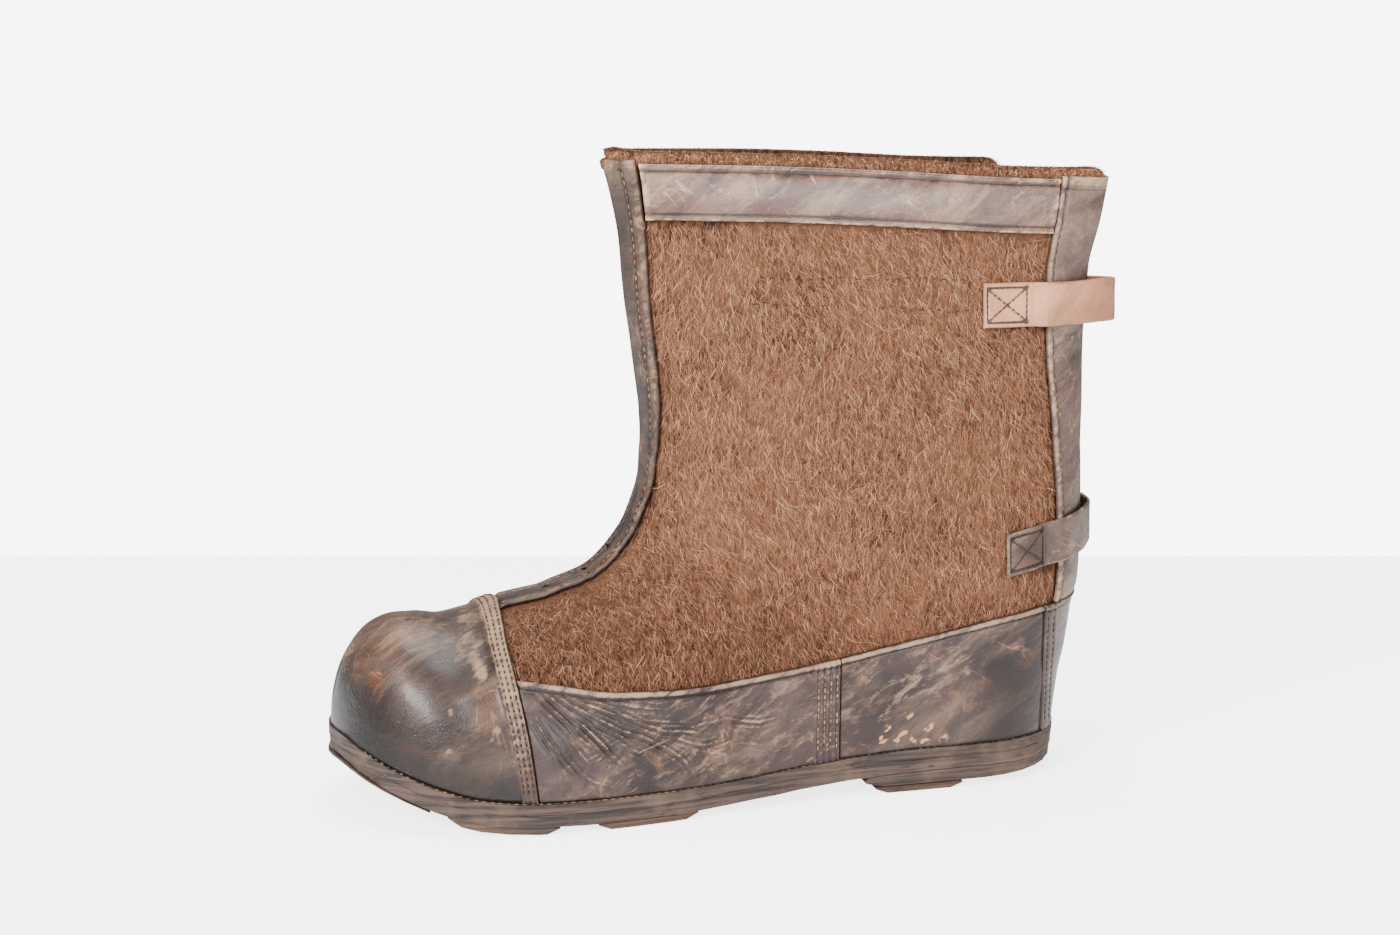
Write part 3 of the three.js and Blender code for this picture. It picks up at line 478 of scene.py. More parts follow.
def felt_finish():
    sockets = {"Specular IOR Level": 0.04}
    felt = Finish("hair_felt", sockets)
    streaks = felt.noise(620.0, 3.0, 0.6, 0.4, felt.stretch((1.0, 1.0, 0.22), (0.0, 0.12, 0.0)))
    tufts = felt.noise(170.0, 4.0, 0.6, 0.8, felt.stretch((1.0, 1.0, 0.4)))
    areas = felt.noise(22.0, 3.0, 0.55)
    colour = felt.blend(felt.between(streaks, 0.38, 0.62), linear(28, 19, 14), linear(94, 64, 49))
    colour = felt.blend(felt.between(tufts, 0.35, 0.7, 0.0, 0.6), colour, linear(66, 46, 34))
    colour = felt.blend(felt.between(areas, 0.35, 0.7, 0.0, 0.45), colour, linear(110, 76, 54))
    # Painted shade: the attribute from lay_felt darkens the felt low down and toward the front of the foot.
    dirt_and_shade = felt.between(felt.attribute("wear_and_shade"), -1.0, 0.0, 0.65, 0.0)
    colour = felt.blend(dirt_and_shade, colour, linear(30, 20, 15))
    normal = felt.bump(felt.maths("ADD", streaks, tufts), 0.0012)
    return felt.paint(colour, 0.95, normal)


felt_material = felt_finish()
columns = np.linspace(-1.0, 1.0, 89)


def corner_drop(x, z, side):
    """How far the rim's rear corners are rounded off."""
    from_back = np.clip((back_x(z, side) - x) / 6.5, 0.0, 1.0)
    return 4.2 * (1.0 - np.sqrt(1.0 - (1.0 - from_back) ** 2)) * smoothstep(270.0, 287.0, z)


def painted_shade(x, z):
    """How much painted shade darkens the felt low down and toward the front of the foot."""
    return 0.42 * smoothstep(150.0, 62.0, z) * smoothstep(30.0, -110.0, x) + 0.15 * smoothstep(120.0, 75.0, z)


def lay_felt(u, v):
    """u is the section's number and v the place across it, from the outer side to the inner."""
    points = np.zeros((len(u), 3))
    outward = np.zeros((len(u), 3))
    for number, row in enumerate(sections):
        here = np.flatnonzero(np.rint(u) == number)
        across = v[here]
        side = np.where(across < 0, -1.0, 1.0)
        x, z = on_section(row, np.abs(across), side)
        z = z - corner_drop(x, z, side)
        if number == 0:
            x, z = np.full(len(here), toe_x), np.full(len(here), row["ends"][1][1])
        spot, way = skin(x, z, side)
        middle = np.abs(across) < 1e-6
        if row.get("closed"):
            middle = middle | (np.abs(across) > 1 - 1e-6)
        spot[middle, 1] = centre_y(spot[middle, 0])
        points[here], outward[here] = spot, way
    # On the felt the attribute holds only painted shade, darker low down and toward the front of the foot.
    return points, outward, -painted_shade(points[:, 0], points[:, 2])


upper_felt = patch("felt_upper", range(len(sections)), columns, lay_felt)
thicken(upper_felt, felt_wall, bevel=1.8)
fit(upper_felt, felt_material, "felt", "upper_felt")


# Toe cap
# A dome of thick leather moulded over the toe, lapped at its rear edge over the rand and the felt
# and held there by three rows of stitches.
leather = 2.0
seam_step = 1.3
bead_step = 0.7
bead_width = 2.6
cap_seam_width = 7.5
cap_edge_line = curve_through(
    [(0.0, 0.242), (0.1, 0.2317), (0.162, 0.225), (0.22, 0.218), (0.265, 0.2145), (0.297, 0.217),
     (0.318, 0.226), (0.4, 0.236)]
)


def cap_edge(z):
    return along_foot(cap_edge_line(z / collar_height))


def ripple(x, z, side, size=0.35):
    """The unevenness of old leather over felt, in millimetres."""
    wave = np.sin(x / 9.1 + 2.3 * side + z / 17.0) + np.sin(z / 6.7 - x / 15.3 + side)
    wave = wave + 0.6 * np.sin(x / 4.1 + z / 5.2) * np.sin(z / 8.3 + 1.7 * side)
    return size * wave / 2.6


def closing(length, coarse, start=0.0, end=0.0, fine=0.4):
    """Places from 0 to 1 along a length, close together over the start and end distances."""
    parts = [np.zeros(1)]
    for span, step in ((start, fine), (length - start - end, coarse), (end, fine)):
        if span > 0:
            count = max(1, int(round(span / step)))
            parts.append(parts[-1][-1] + np.linspace(0, span, count + 1)[1:])
    places = np.concatenate(parts)
    return places / places[-1]


def groove(distance, at, width=0.45, depth=0.4):
    return -depth * np.exp(-(((distance - at) / width) ** 2))


def roll_over(distance, rise=bead_step, width=bead_width, turn_down=1.3):
    """Height of a folded and rolled edge over the leather, by the distance from the edge."""
    down = -turn_down * (1.0 - np.sqrt(1.0 - (1.0 - np.clip(distance / 1.1, 0, 1)) ** 2))
    bead = rise * np.clip(1.0 - ((distance - width / 2) / (width * 0.62)) ** 2, 0.0, 1.0)
    return down + bead + groove(distance, width + 0.7)


def rubbed_and_shaded_edge(distance, strength=0.75, width=bead_width):
    """Wear and painted shade of a rolled edge: pale where the bead is rubbed, painted shade in the stitched
    groove behind it and where the edge turns down.
    """
    pale = 0.62 * strength * smoothstep(width + 0.4, width - 1.0, distance)
    # Painted shade in the stitched groove behind the bead and where the edge turns down to the felt.
    dark = 0.9 * np.exp(-(((distance - width - 0.7) / 0.55) ** 2))
    return pale - dark - 0.9 * smoothstep(0.5, 0.0, distance)


def spot(x, z, radius_x, radius_z, at_x, at_z):
    return np.exp(-(((x - at_x) / radius_x) ** 2) - ((z - at_z) / radius_z) ** 2)


# Places (x, z) on the cap: scuffs with their sizes, and warm patches with their reaches and strengths
cap_scuffs = [(-219.0, 54.0, 1.5), (-200.0, 47.0, 1.5), (-203.0, 43.0, 1.0), (-221.0, 38.0, 2.2),
              (-218.0, 36.0, 1.4), (-204.0, 69.0, 3.0), (-236.0, 60.0, 1.2)]
cap_warm = [(-236.0, 82.0, 6.0, 7.0, 0.6), (-238.0, 70.0, 5.0, 10.0, 0.5), (-245.0, 62.0, 6.0, 8.0, 0.3),
            (-214.0, 47.0, 10.0, 7.0, 0.4), (-224.0, 40.0, 9.0, 6.0, 0.25), (-206.0, 60.0, 6.0, 8.0, 0.25)]


def lay_toe_cap(u, v):
    side = np.where(v < 0, -1.0, 1.0)
    drop = 1.0 - np.cos(np.abs(v) * math.pi / 2)
    forward = mix(1.0 - np.cos(u * math.pi / 2), u, 0.45 * u)
    x = toe_x + forward * (along_foot(0.217) - toe_x)
    for _ in range(4):
        low = feather_z(x) + gap
        z = mix(np.maximum(vamp_z(x), low), low, drop)
        x = toe_x + forward * (cap_edge(z) - toe_x)
    behind = cap_edge(z) - x
    height = gap + leather + seam_step * smoothstep(cap_seam_width + 0.5, cap_seam_width - 0.7, behind)
    height = height - 1.8 * (1.0 - np.sqrt(1.0 - (1.0 - np.clip(behind / 1.3, 0, 1)) ** 2))
    for row in (1.7, 4.0, 6.2):
        height = height + groove(behind, row, 0.5, 0.45)
    on_cap = smoothstep(cap_seam_width, cap_seam_width + 8, behind)
    height = height + ripple(x, z, side, 0.4) * on_cap * smoothstep(0.0, 0.25, u)
    height = height - 1.1 * spot(x, z, 9.0, 6.0, -233.0, 84.0) * on_cap
    point, outward = skin(x, z, side, height)
    middle = np.abs(v) < 1e-6
    point[middle, 1] = centre_y(x[middle])
    tip = u < 1e-6
    point[tip] = (toe_x - gap - leather, float(centre_y(toe_x)), float(feather_z(toe_x)) + gap)
    floor_line = feather_z(np.clip(point[:, 0], toe_x, heel_back)) + gap
    point[:, 2] = np.maximum(point[:, 2], floor_line)
    wear_and_shade = 0.75 * smoothstep(cap_seam_width + 1.2, cap_seam_width - 1.2, behind)
    # Painted shade in broken dashes along the three stitched grooves, and along the rear edge where the cap
    # laps the rand.
    for number, row in enumerate((1.7, 4.0, 6.2)):
        dashes = smoothstep(-0.5, 0.6, np.sin(z * 2.1 + 1.9 * number + 0.8 * np.sin(z / 3.0)))
        wear_and_shade = wear_and_shade - 0.6 * dashes * np.exp(-(((behind - row) / 0.6) ** 2))
    wear_and_shade = wear_and_shade - 0.9 * smoothstep(0.7, 0.0, behind)
    wear_and_shade = wear_and_shade + 0.35 * smoothstep(30.0, cap_seam_width, behind) * smoothstep(50.0, 78.0, z) * on_cap
    # Paler on the top; painted shade low down toward the sole and at the toe's tip.
    wear_and_shade = wear_and_shade + 0.2 * smoothstep(60.0, 84.0, z) - 0.75 * smoothstep(36.0, 3.0, z - floor_line)
    wear_and_shade = wear_and_shade - 0.45 * smoothstep(-240.0, -262.0, x)
    outer = side < 0
    for at_x, at_z, size in cap_scuffs:
        wear_and_shade = wear_and_shade + 0.95 * spot(x, z, size, 1.2 * size, at_x, at_z) * outer
    crack = np.exp(-(((z - 47.0 - 1.2 * np.sin((x + 224.0) / 2.6)) / 0.7) ** 2))
    crack = crack * smoothstep(-226.0, -223.0, x) * smoothstep(-211.0, -214.0, x)
    wear_and_shade = wear_and_shade - 0.8 * crack * outer
    warm = np.zeros(len(x))
    for at_x, at_z, wide, high, strength in cap_warm:
        warm = np.maximum(warm, strength * spot(x, z, wide, high, at_x, at_z))
    return point, outward, np.clip(wear_and_shade, -1.0, 1.0), warm * (0.4 + 0.6 * outer)


def leather_finish(name, deep, middle, warm, pale, rough=0.42, warm_share=0.55, dust=0.35, gloss=0.2,
                   rust=linear(96, 54, 34)):
    """Old greased leather: clouded colour, dust, fine scratches, grain, and wear, painted shade and painted
    highlight by attribute.
    """
    hide = Finish(name, {"Specular IOR Level": 0.22, "Coat Weight": gloss, "Coat Roughness": 0.25})
    clouds = hide.noise(26.0, 5.0, 0.6, 0.5)
    blots = hide.noise(48.0, 6.0, 0.65, 0.4)
    film = hide.noise(42.0, 7.0, 0.7, 0.5, hide.stretch((0.4, 1.0, 1.3), (0.0, -0.55, 0.0)))
    grain = hide.cells(1300.0, "F1")
    pores = hide.noise(1000.0, 3.0, 0.6)
    marks = hide.noise(170.0, 7.0, 0.78, 0.6, hide.stretch((0.35, 1.0, 1.2), (0.0, -0.5, 0.2)))
    wear_and_shade = hide.attribute("wear_and_shade")
    colour = hide.blend(hide.between(clouds, 0.3, 0.7), deep, middle)
    colour = hide.blend(hide.between(blots, 0.5, 0.66, 0.0, warm_share), colour, warm)
    patches = hide.maths("ADD", hide.attribute("warm"), hide.between(blots, 0.35, 0.65, -0.25, 0.25))
    colour = hide.blend(hide.between(patches, 0.1, 0.8, 0.0, 0.9), colour, rust)
    colour = hide.blend(hide.between(film, 0.45, 0.68, 0.0, dust), colour, pale)
    colour = hide.blend(hide.between(pores, 0.35, 0.65, 0.0, 0.22), colour, deep)
    # Pale where rubbed, and on the collar bands a painted highlight along the middle.
    rubbed_and_highlit = hide.maths("ADD", wear_and_shade, hide.between(marks, 0.32, 0.68, -0.4, 0.4))
    colour = hide.blend(hide.between(rubbed_and_highlit, 0.22, 0.95, 0.0, 0.85), colour, pale)
    relief = hide.maths("ADD", hide.maths("MULTIPLY", grain, 0.5), pores)
    for scale, size, turn in ((21.0, (0.4, 1.0, 2.0), 0.5), (17.0, (2.2, 1.0, 0.4), -0.35)):
        waves = hide.noise(scale, 3.0, 0.5, 0.5, hide.stretch(size, (0.0, turn, 0.2)))
        near = hide.maths("ABSOLUTE", hide.maths("SUBTRACT", waves, 0.5))
        line = hide.between(near, 0.0, 0.0045, 1.0, 0.0)
        line = hide.maths("MULTIPLY", line, hide.between(blots, 0.5, 0.64, 0.0, 0.55))
        colour = hide.blend(line, colour, pale)
        relief = hide.maths("SUBTRACT", relief, line)
    # Below zero the attribute darkens the leather with dirt and painted shade.
    dirt_and_shade = hide.between(wear_and_shade, -0.9, -0.1, 0.9, 0.0)
    colour = hide.blend(dirt_and_shade, colour, linear(14, 11, 10))
    shine = hide.between(hide.maths("ADD", marks, rubbed_and_highlit), 0.2, 1.5, rough - 0.06, rough + 0.28)
    normal = hide.bump(relief, 0.0003, 0.5)
    normal = hide.bump(film, 0.0022, 0.5, normal)
    return hide.paint(colour, shine, normal)


dark_leather = leather_finish(
    "dark_leather", linear(28, 21, 19), linear(60, 45, 40), linear(76, 44, 31), linear(140, 112, 88),
    0.38, 0.45, 0.28, 0.2,
)
cap_places = closing(125.0, 1.9, 0.0, 9.5, 0.45)
toe_cap = patch("leather_toe_cap", cap_places, np.linspace(-1, 1, 129), lay_toe_cap)
thicken(toe_cap, 1.7)
fit(toe_cap, dark_leather, "dark_leather", "toe_cap")


# Stitches of the toe cap
# Waxed linen thread, one stitch after the other with the ends sunk into the leather, in three
# rows along the rear edge.
def pack_threads(name, rows, material, slot, length=2.6, width=0.75, pitch=3.4):
    """Stitches along rows; each row is (points in millimetres, outward directions)."""
    seed = bmesh.new()
    bmesh.ops.create_uvsphere(seed, u_segments=6, v_segments=4, radius=0.5)
    bmesh.ops.rotate(seed, verts=seed.verts, matrix=Matrix.Rotation(math.pi / 2, 3, "Y"))
    bmesh.ops.scale(seed, verts=seed.verts, vec=Vector((length, width, 0.75 * width)) * MM)
    one = bpy.data.meshes.new("stitch")
    seed.to_mesh(one)
    seed.free()
    every = bmesh.new()
    for points, outward in rows:
        points, outward = np.asarray(points), np.asarray(outward)
        legs = np.linalg.norm(np.diff(points, axis=0), axis=1)
        run = np.concatenate([[0.0], np.cumsum(legs)])
        for at in np.arange(pitch * 0.6, run[-1] - pitch * 0.4, pitch):
            k = min(int(np.searchsorted(run, at)), len(run) - 1)
            t = (at - run[k - 1]) / max(run[k] - run[k - 1], 1e-6)
            centre = Vector(mix(points[k - 1], points[k], t)) * MM
            up = Vector(outward[k]).normalized()
            ahead = Vector(points[k] - points[k - 1]).normalized()
            across = up.cross(ahead).normalized()
            ahead = across.cross(up)
            turned = Matrix((ahead, across, up)).transposed().to_4x4()
            copy = one.copy()
            copy.transform(Matrix.Translation(centre) @ turned)
            every.from_mesh(copy)
            bpy.data.meshes.remove(copy)
    mesh = bpy.data.meshes.new(name)
    every.to_mesh(mesh)
    every.free()
    mesh.polygons.foreach_set("use_smooth", [True] * len(mesh.polygons))
    piece = bpy.data.objects.new(name, mesh)
    bpy.context.scene.collection.objects.link(piece)
    return fit(piece, material, slot)


def seam(x, z, side, height):
    return skin(np.asarray(x, float), np.asarray(z, float), side, np.asarray(height, float))


thread = Finish("waxed_thread", {"Specular IOR Level": 0.3})
thread_tone = thread.noise(320.0, 4.0, 0.6)
thread_colour = thread.blend(
    thread.between(thread_tone, 0.35, 0.65), linear(70, 54, 38), linear(150, 122, 86)
)
thread_material = thread.paint(thread_colour, 0.8, thread.bump(thread_tone, 0.0002))
dark_thread = Finish("dark_thread", {"Specular IOR Level": 0.3})
dark_tone = dark_thread.noise(320.0, 4.0, 0.6)
dark_colour = dark_thread.blend(
    dark_thread.between(dark_tone, 0.35, 0.65), linear(20, 16, 14), linear(60, 49, 40)
)
dark_thread_material = dark_thread.paint(dark_colour, 0.8, dark_thread.bump(dark_tone, 0.0002))


def cap_row(behind):
    across = np.linspace(-0.97, 0.97, 161)
    side = np.where(across < 0, -1.0, 1.0)
    x = np.full(len(across), float(along_foot(0.217)))
    for _ in range(4):
        z = mix(vamp_z(x), feather_z(x) + gap, 1.0 - np.cos(np.abs(across) * math.pi / 2))
        x = cap_edge(z) - behind
    return skin(x, z, side, gap + leather + seam_step - 0.1)


pack_threads(
    "stitches_toe_cap", [cap_row(d) for d in (1.7, 4.0, 6.2)], dark_thread_material, "dark_leather",
    1.7, 0.75, 3.1,
)


# Rand
# Leather round the foot above the sole: a front and a rear piece on each side, lapped at the side
# seam under four rows of stitches. The top edge is rolled; walking has creased the front piece.
rand_top_line = curve_through(
    [(0.2, 0.227), (0.268, 0.2176), (0.347, 0.2071), (0.46, 0.206), (0.543, 0.2122),
     (0.642, 0.224), (0.741, 0.2432), (0.8836, 0.274), (0.95, 0.286), (1.03, 0.292)]
)
side_seam_line = curve_through([(0.05, 0.617), (0.23, 0.618)])
counter_edge_line = curve_through([(0.07, 0.955), (0.29, 0.948)])
side_seam_width = 13.0


def rand_top(x):
    return rand_top_line(share_of(x)) * collar_height


def side_seam(z):
    return along_foot(side_seam_line(z / collar_height))


def counter_edge(z):
    return along_foot(counter_edge_line(z / collar_height))


# Creases, as the places (x, z) that a trough runs through, its half width and its depth
creases = [
    ([(-183, 61), (-172, 50), (-164, 41), (-157, 36)], 1.0, 0.9),
    ([(-180, 61), (-160, 44), (-151, 33), (-144, 25)], 1.1, 1.0),
    ([(-177, 60), (-168, 52), (-157, 40), (-148, 31)], 0.9, 0.8),
    ([(-169, 56), (-152, 47), (-136, 40), (-119, 29), (-110, 17)], 1.1, 1.0),
    ([(-148, 52), (-127, 42), (-101, 37)], 1.1, 0.8),
    ([(-185, 51), (-177, 38), (-164, 21)], 1.0, 0.9),
    ([(-174, 37), (-161, 23), (-148, 17)], 1.0, 0.7),
    ([(-164, 57), (-146, 50), (-128, 47), (-112, 44)], 0.9, 0.6),
    ([(-139, 33), (-122, 38), (-108, 33), (-92, 35)], 0.9, 0.5),
    ([(-112, 42), (-96, 44), (-80, 40), (-66, 42)], 1.0, 0.6),
    ([(-160, 30), (-146, 38), (-134, 30)], 0.8, 0.5),
    ([(-104, 28), (-90, 32), (-74, 28)], 0.9, 0.45),
    ([(-182, 56), (-172, 45), (-163, 33), (-158, 25)], 0.8, 0.6),
    ([(-176, 61), (-163, 52), (-148, 43), (-136, 33)], 0.8, 0.7),
    ([(-172, 61), (-154, 53), (-138, 45), (-122, 37)], 0.8, 0.7),
    ([(-181, 43), (-174, 30), (-168, 20)], 0.7, 0.5),
    ([(-158, 60), (-141, 54), (-122, 52)], 0.7, 0.4),
]


def creased(x, z):
    """Height of the creases, how pale their crests are rubbed and how much painted shade lies in their
    troughs.
    """
    height, pale, dark = np.zeros(len(x)), np.zeros(len(x)), np.zeros(len(x))
    for places, half, depth in creases:
        nearest, away, along, run = np.full(len(x), 1e9), np.zeros(len(x)), np.zeros(len(x)), 0.0
        for (x0, z0), (x1, z1) in zip(places, places[1:]):
            leg = math.hypot(x1 - x0, z1 - z0)
            t = np.clip(((x - x0) * (x1 - x0) + (z - z0) * (z1 - z0)) / leg ** 2, 0.0, 1.0)
            distance = np.hypot(x - x0 - t * (x1 - x0), z - z0 - t * (z1 - z0))
            above = np.sign((z - z0) * (x1 - x0) - (x - x0) * (z1 - z0))
            closer = distance < nearest
            nearest = np.where(closer, distance, nearest)
            away = np.where(closer, distance * above, away)
            along = np.where(closer, run + t * leg, along)
            run += leg
        away = away - 0.3 * np.sin(along / 6.5 + places[0][0]) - 0.12 * np.sin(along / 2.3)
        fade = smoothstep(0.0, 0.04 * run, along) * smoothstep(run, 0.7 * run, along)
        for shift, share in ((0.0, 1.0), (2.6, 0.55), (-2.4, 0.4)):
            thin = 0.62 * half * (0.6 + 0.4 * share)
            # The troughs sink the leather and carry painted shade; the crests are rubbed pale.
            trough = share * np.exp(-(((away - shift) / thin) ** 2)) * fade
            crest = share * np.exp(-(((away - shift - 1.7 * thin) / (0.8 * thin)) ** 2)) * fade
            height = height + 0.6 * depth * (0.8 * crest - trough)
            pale, dark = np.maximum(pale, crest), np.maximum(dark, trough)
    return height, pale, dark


def lay_rand_front(side):
    def lay(u, v):
        x = along_foot(mix(0.22, 0.68, u))
        for _ in range(4):
            low, top = feather_z(x) + gap, rand_top(x)
            z = mix(low, top, v)
            x = mix(cap_edge(z) + gap, side_seam(z) + side_seam_width, u)
        under = top - z
        behind = side_seam(z) + side_seam_width - x
        lap = smoothstep(side_seam_width + 0.6, side_seam_width - 0.6, behind)
        height = gap + leather + roll_over(under) + (seam_step - 0.2) * lap * smoothstep(0.0, 3.5, under)
        for row in (1.9, 5.0, 8.1, 11.2):
            height = height + groove(behind, row, 0.5, 0.45)
        height = height - 1.6 * (1.0 - np.sqrt(1.0 - (1.0 - np.clip(behind / 1.2, 0, 1)) ** 2))
        fold, pale, dark = creased(x, z)
        clear = smoothstep(2.6, 5.0, under) * (1.0 - lap)
        height = height + fold * clear + ripple(x, z, side, 0.35) * clear
        point, outward = skin(x, z, side, height)
        point[:, 2] = np.maximum(point[:, 2], feather_z(x) + gap)
        # Pale where rubbed on the bead, crests and lap, and paler toward the toe; painted shade in the crease
        # troughs, the stitched grooves of the seam, along the foot at the sole and at the lap's edge.
        wear_and_shade = rubbed_and_shaded_edge(under, 1.1) + (0.5 * pale - 0.4 * dark) * clear + 0.3 * lap
        wear_and_shade = wear_and_shade - 0.7 * smoothstep(2.2, 0.3, z - low)
        wear_and_shade = wear_and_shade + 0.22 * smoothstep(-190.0, -130.0, x) * clear
        for row in (1.9, 5.0, 8.1, 11.2):
            wear_and_shade = wear_and_shade - 0.8 * np.exp(-(((behind - row) / 0.6) ** 2)) * (under > 2.0)
        wear_and_shade = wear_and_shade - 0.9 * smoothstep(0.6, 0.0, behind)
        return point, outward, np.clip(wear_and_shade, -1.0, 1.0)

    return lay


# Places (x, z) and sizes of the chips in the rear rand's colour, low on the outer side
rand_chips = [
    (-6.0, 36.0, 1.9), (-16.0, 32.0, 1.7), (-9.0, 29.0, 2.3), (3.0, 29.0, 1.9), (4.0, 31.5, 1.4),
    (11.0, 25.0, 1.6), (-19.0, 26.0, 1.9), (-12.0, 25.5, 1.6), (-5.0, 25.0, 1.8), (1.0, 24.5, 1.4),
]


def lay_rand_rear(side):
    def lay(u, v):
        x = along_foot(mix(0.66, 0.95, u))
        for _ in range(4):
            low, top = feather_z(x) + gap, rand_top(x)
            z = mix(low, top, v)
            x = mix(side_seam(z) + side_seam_width + gap, counter_edge(z) - gap, u)
        under = top - z
        height = gap + leather + roll_over(under)
        height = height + ripple(x, z, side, 0.45) * smoothstep(3.0, 9.0, under)
        height = height + 0.8 * spot(x, z, 12.0, 9.0, 20.0, 52.0) - 0.7 * spot(x, z, 9.0, 7.0, 40.0, 62.0)
        point, outward = skin(x, z, side, height)
        point[:, 2] = np.maximum(point[:, 2], feather_z(x) + gap)
        slope = (z - 26.0) - 0.62 * (x + 26.0)
        ridge = np.exp(-(((slope - 6.0) / 9.0) ** 2))
        ridge = ridge * smoothstep(-30.0, -10.0, x) * smoothstep(60.0, 20.0, x)
        # Painted shade in the stitched groove under the bead, along the foot at the sole and low at the rear;
        # paler along a diagonal fold and above it.
        wear_and_shade = rubbed_and_shaded_edge(under, 0.9) + 0.34 * ridge - 0.7 * smoothstep(2.2, 0.3, z - low)
        wear_and_shade = wear_and_shade + 0.25 * smoothstep(5.0, 20.0, slope)
        wear_and_shade = wear_and_shade - 0.6 * smoothstep(14.0, 40.0, x) * smoothstep(76.0, 58.0, z)
        chipped = np.zeros(len(x))
        ragged_x = x + 0.9 * np.sin(1.9 * z + 0.7 * x) + 0.4 * np.sin(3.7 * x)
        ragged_z = z + 0.8 * np.sin(1.6 * x - 0.5 * z) + 0.4 * np.sin(4.1 * z + x)
        for at_x, at_z, size in rand_chips:
            chip = spot(ragged_x, ragged_z, 1.1 * size, 0.75 * size, at_x, at_z)
            chipped = np.maximum(chipped, smoothstep(0.35, 0.75, chip) * (side < 0))
        return point, outward, np.clip(wear_and_shade + 0.3 * chipped, -1.0, 1.0), 1.2 * chipped

    return lay


rand_leather = leather_finish(
    "rand_leather", linear(28, 20, 19), linear(60, 45, 42), linear(76, 47, 39), linear(152, 124, 102),
    0.42, 0.4, 0.24, 0.16, linear(196, 140, 96),
)
heights = closing(56.0, 0.95, 0.0, 5.0, 0.4)
for side, name in ((-1.0, "lateral"), (1.0, "medial")):
    step = 0.68 if side < 0 else 1.1
    lengths = closing(160.0, step, 0.0, 14.0, 0.5)
    rows = closing(56.0, step, 0.0, 5.0, 0.4)
    front = patch(f"leather_rand_front_{name}", lengths, rows, lay_rand_front(side))
    thicken(front, 1.5)
    fit(front, rand_leather, "dark_leather", f"rand_front_{name}")
    rear = patch(f"leather_rand_rear_{name}", np.linspace(0, 1, 76), heights, lay_rand_rear(side))
    thicken(rear, 1.5)
    fit(rear, rand_leather, "dark_leather", f"rand_rear_{name}")

seam_rows = []
top_rows = []
for side in (-1.0, 1.0):
    for behind in (1.9, 5.0, 8.1, 11.2):
        z = np.linspace(24.0, 62.0, 60)
        x = side_seam(z) + side_seam_width - behind
        seam_rows.append(seam(x, z, side, np.full(60, gap + leather + seam_step - 0.35)))
    for start, end in ((0.225, 0.653), (0.66, 0.945)):
        x = along_foot(np.linspace(start, end, 160))
        z = rand_top(x) - bead_width - 0.7
        top_rows.append(seam(x, z, side, np.full(160, gap + leather - 0.25)))
pack_threads("stitches_side_seam", seam_rows, thread_material, "tan_leather", 2.4, 0.8, 3.0)
pack_threads("stitches_rand_top", top_rows, dark_thread_material, "dark_leather", 2.4, 0.7, 3.4)


# Heel counter
# One piece of greased leather wrapped round the heel from side to side. Its front edges are
# lapped over the rear rands and stitched down in two rows.
def lay_counter(u, v):
    side = np.where(u < 0, -1.0, 1.0)
    x = np.full(len(u), 72.0)
    for _ in range(5):
        low, top = feather_z(np.minimum(x, heel_back)) + gap, rand_top(x)
        z = mix(low, top, v)
        back = back_x(z, -1.0)
        x = back - (back - counter_edge(z)) * (1.0 - np.cos(np.abs(u) * math.pi / 2))
    under = top - z
    edge = x - counter_edge(z)
    lap = smoothstep(8.4, 7.2, edge)
    height = gap + leather + roll_over(under) + bead_step * lap
    height = height - 1.7 * (1.0 - np.sqrt(1.0 - (1.0 - np.clip(edge / 1.2, 0, 1)) ** 2))
    for row in (2.2, 5.6):
        height = height + groove(edge, row, 0.5, 0.4)
    height = height + ripple(x, z, side, 0.3) * smoothstep(3.0, 8.0, under) * smoothstep(8.0, 12.0, edge)
    point, outward = skin(x, z, side, height)
    middle = np.abs(u) < 1e-6
    point[middle, 1] = 0.0
    floor_line = feather_z(np.clip(point[:, 0], toe_x, heel_back)) + gap
    point[:, 2] = np.maximum(point[:, 2], floor_line)
    # Painted shade in the stitched grooves, under the bead, along the foot at the sole and at the front edge;
    # the lap is paler.
    wear_and_shade = rubbed_and_shaded_edge(under, 0.6) + 0.25 * lap - 0.7 * smoothstep(2.2, 0.3, z - low)
    for row in (2.2, 5.6):
        wear_and_shade = wear_and_shade - 0.8 * np.exp(-(((edge - row) / 0.6) ** 2))
    wear_and_shade = wear_and_shade - 1.0 * smoothstep(0.8, 0.0, edge)
    return point, outward, np.clip(wear_and_shade, -1.0, 1.0)


counter_places = np.concatenate([-closing(1, 0.02)[::-1], closing(1, 0.02)[1:]])
counter = patch("leather_heel_counter", counter_places, heights, lay_counter)
thicken(counter, 1.4)
fit(counter, dark_leather, "dark_leather", "heel_counter")
counter_rows = []
for side in (-1.0, 1.0):
    for behind in (2.2, 5.6):
        z = np.linspace(25.0, 80.0, 60)
        counter_rows.append(seam(counter_edge(z) + behind, z, side, np.full(60, gap + leather + 0.45)))
pack_threads("stitches_counter", counter_rows, dark_thread_material, "dark_leather", 2.4, 0.8, 3.2)


# Front strip
# A narrow leather strip over the seam where the two felt panels meet, from the toe cap to the
# collar. Its edges are rolled and stitched, and its top end is folded over.
strip_depth_instep = curve_through([(0.0, 0.004), (0.3, 0.009), (0.65, 0.016), (1.0, 0.025)])
strip_depth_shaft = curve_through([(0.0, 0.025), (0.4, 0.031), (0.65, 0.036), (0.9, 0.046), (1.0, 0.05)])
rim_above_band = 5.0


